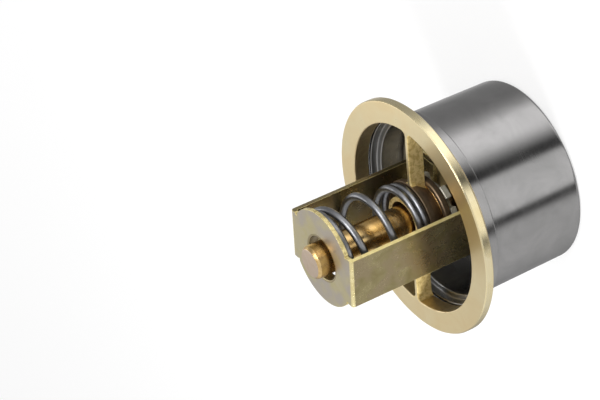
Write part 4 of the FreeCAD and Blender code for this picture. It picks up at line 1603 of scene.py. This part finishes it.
@dataclass(frozen=True)
class Studio:
    """Pale floor, and a round tent of light and dark panels that the metals mirror."""

    floor_radius: float = 6.0
    floor_level: float = -0.02
    mouth_radius: float = 23.5
    floor_colour: Colour = (0.93, 0.93, 0.93)
    floor_roughness: float = 0.9
    white_share: float = 0.6
    world_level: float = 0.62
    tent_level: float = 1.35
    tent_heights: tuple[float, float] = (-0.1, 0.2)

    def floor_material(self) -> bpy.types.Material:
        """Pale floor, partly plain white for the camera, so that its shadow stays light.

        Returns:
            The floor's material.
        """
        material, tree = new_material("floor_pale")
        shader = tree.node("BsdfPrincipled")
        colour = (*self.floor_colour, 1)
        tree.feed(shader, Base_Color=colour, Roughness=self.floor_roughness)
        white = tree.node("Emission")
        seen = tree.node("LightPath").outputs["Is Camera Ray"]
        share = tree.math("MULTIPLY", seen, self.white_share)
        tree.close(tree.mix_shaders(share, shader.outputs[0], white.outputs[0]))
        return material

    def floor(self) -> None:
        """Make the floor at the height of the sleeve's rear end.

        It is a small disc inside the sleeve's mouth, which metals mirror, and a wide ring
        round it, which they don't, so that they show the tent.
        """
        material = self.floor_material()
        edges = (0.0, self.mouth_radius, self.floor_radius / MM)
        for name, inner, outer in zip(("floor_in_mouth", "floor"), edges, edges[1:]):
            skin = Skin(name)
            skin.add(*lathe(np.array([[inner, self.floor_level], [outer, self.floor_level]])))
            disc = skin.build(outward=False)
            disc.visible_glossy = inner == 0.0
            disc.data.materials.append(material)

    def ring(self, tree: Tree, turn: Socket, panels: list[tuple[float, float]]) -> Socket:
        """Brightness of the tent's panels round the horizon.

        Args:
            tree: The world's nodes.
            turn: The direction's angle, as a share of the full turn.
            panels: Angle in degrees and brightness of each stop.

        Returns:
            The brightness in that direction.
        """
        ramp = tree.node("ValToRGB")
        stops = ramp.color_ramp.elements
        while len(stops) < len(panels):
            stops.new(0.5)
        for stop, (degrees, level) in zip(stops, panels):
            stop.position = degrees / 360
            stop.color = (level, level, level, 1)
        return tree.fill(ramp, turn)

    def world(self) -> None:
        """White for the camera, a soft grey for diffuse light and the tent for reflections."""
        world = bpy.data.worlds.new("studio")
        world.use_nodes = True
        tree = Tree(world.node_tree)
        toward = tree.node("TexCoord").outputs["Generated"]
        x, y, z = tree.feed(tree.node("SeparateXYZ"), Vector=toward).outputs
        turn = tree.math("FRACT", tree.math("DIVIDE", tree.math("ARCTAN2", y, x), 2 * math.pi))
        low, high = self.ring(tree, turn, LOW_RING), self.ring(tree, turn, HIGH_RING)
        tent = tree.mix(tree.ramp(z, *self.tent_heights), low, high)
        looks = ((WHITE, self.world_level), (tent, self.tent_level), (WHITE, 1.0))
        grey, panels, plain = (tree.fill(tree.node("Background"), *look) for look in looks)
        path = tree.node("LightPath").outputs
        mirrored = tree.math("MAXIMUM", path["Is Glossy Ray"], path["Is Transmission Ray"])
        lit = tree.mix_shaders(mirrored, grey, panels)
        tree.close(tree.mix_shaders(path["Is Camera Ray"], lit, plain), "OutputWorld")
        bpy.context.scene.world = world

    def build(self) -> None:
        """Make the floor, the surroundings, the lamps and the camera."""
        self.floor()
        self.world()
        for lamp in LAMPS:
            lamp.build()
        CameraPlace().build()
        bpy.context.scene.view_settings.view_transform = "Standard"


def span(node: str) -> tuple[Array, Array]:
    """Lowest and highest corner of a node in millimetres."""
    low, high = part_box(node)
    return np.array(low) / MM, np.array(high) / MM


@dataclass
class Thermostat:
    """All pieces of the valve, built from the frame's own boxes."""

    boss_rise: float = 2.5
    clip_depths: tuple[float, float] = (1.9, 0.15)

    def flange_side(self) -> None:
        """Casting, seal, capsule, guide and clip, which ride on the flange."""
        low, high = span("flange_casting")
        casting = Casting(high[0], high[2] - self.boss_rise, low[2], high[2]).build()
        # Bronze darkened as painted shade, for the hub's side, seat edge and bore and for the
        # guide.
        painted_shade_bronze = BRONZE_WITH_PAINTED_SHADE.build()
        finishes = [
            TURNED_BRASS.build(), CAST_BRASS.build(), painted_shade_bronze, BORED_BRASS.build(),
            RIM_BRASS.build(),
        ]
        finish_piece(casting, FLANGE, "cast_brass", finishes, "flange_casting")

        low, high = span("seat_seal")
        seal = SeatSeal(high[0], low[2], high[2]).build()
        finish_piece(seal, FLANGE, "seal_rubber", [Rubber().build()], "seat_seal")

        low, high = span("wax_capsule")
        capsule = WaxCapsule(high[0], low[2], high[2]).build()
        finishes = [DRAWN_COPPER.build(), CAPSULE_END.build()]
        finish_piece(capsule, FLANGE, "capsule_copper", finishes, "wax_capsule")

        low, high = span("element_guide")
        guide = ElementGuide(high[0], low[2], high[2])
        # The guide takes the bronze with painted shade as well.
        finish_piece(guide.build(), FLANGE, "element_brass", [painted_shade_bronze], "element_guide")
        clip = ClipRing(*(guide.rim_back() - depth for depth in self.clip_depths)).build()
        finish_piece(clip, FLANGE, "element_brass", [CLIP_STEEL.build()])

    def valve_side(self) -> None:
        """Sleeve, crossbar with seat, piston and rivets, stirrup and spring, on the valve."""
        _, high = span("sleeve")
        sleeve = Sleeve(high[2], high[0]).build()
        finishes = [BRUSHED_STAINLESS.build(), SLEEVE_INSIDE.build()]
        finish_piece(sleeve, VALVE, "sleeve_steel", finishes, "sleeve")

        sheared, bar_sheet = SHEARED_BRASS.build(), CROSSBAR_SHEET.build()
        low, high = span("crossbar")
        bar = Crossbar(high[0], high[1], high[2], low[2])
        finish_piece(bar.build(), VALVE, "crossbar_brass", [bar_sheet, sheared], "crossbar")

        low, high = span("stirrup")
        stirrup = Stirrup(high[0], high[1], low[2], high[2])
        # The arms' darker sheet is painted shade; the near arm's edges and the outer bends carry
        # painted highlights.
        finishes = [
            PASSIVATED_SHEET.build(), sheared, OLIVE_SHEET_AND_PAINTED_SHADE.build(), NEAR_EDGE_PAINTED_HIGHLIGHT.build(),
            BEND_PAINTED_HIGHLIGHT.build(),
        ]
        finish_piece(stirrup.build(), VALVE, "sheet_brass", finishes, "stirrup")

        pin_low, pin_high = span("piston")
        low, high = span("piston_seat")
        seat = PistonSeat(high[0], low[2], high[2], bar.under(), bar.top, pin_low[2]).build()
        finish_piece(seat, VALVE, "element_brass", [TURNED_ELEMENT.build()], "piston_seat")
        piston = Piston(pin_high[0], pin_low[2], pin_high[2]).build()
        finish_piece(piston, VALVE, "piston_steel", [GROUND_STEEL.build()], "piston")

        for node in ("rivet_left", "rivet_right"):
            low, high = span(node)
            middle = (low[0] + high[0]) / 2
            rivet = Rivet(node + "_headed", middle, high[1], low[2], high[2]).build()
            finish_piece(rivet, VALVE, "crossbar_brass", [bar_sheet], node)

        low, high = span("return_spring")
        spring = Spring(low[2], high[2]).build()
        finish_piece(spring, VALVE, "spring_wire", [SPRING_STEEL.build()], "return_spring")
        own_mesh(spring)

    def build(self) -> None:
        """Make every piece."""
        self.flange_side()
        self.valve_side()


def main() -> None:
    """Load the frame, and build the valve and its studio."""
    logging.basicConfig(level=logging.INFO, format="%(name)s: %(message)s")
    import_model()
    make_turning_group()
    make_blotch_group()
    Thermostat().build()
    Studio().build()


if __name__ == "__main__":
    main()
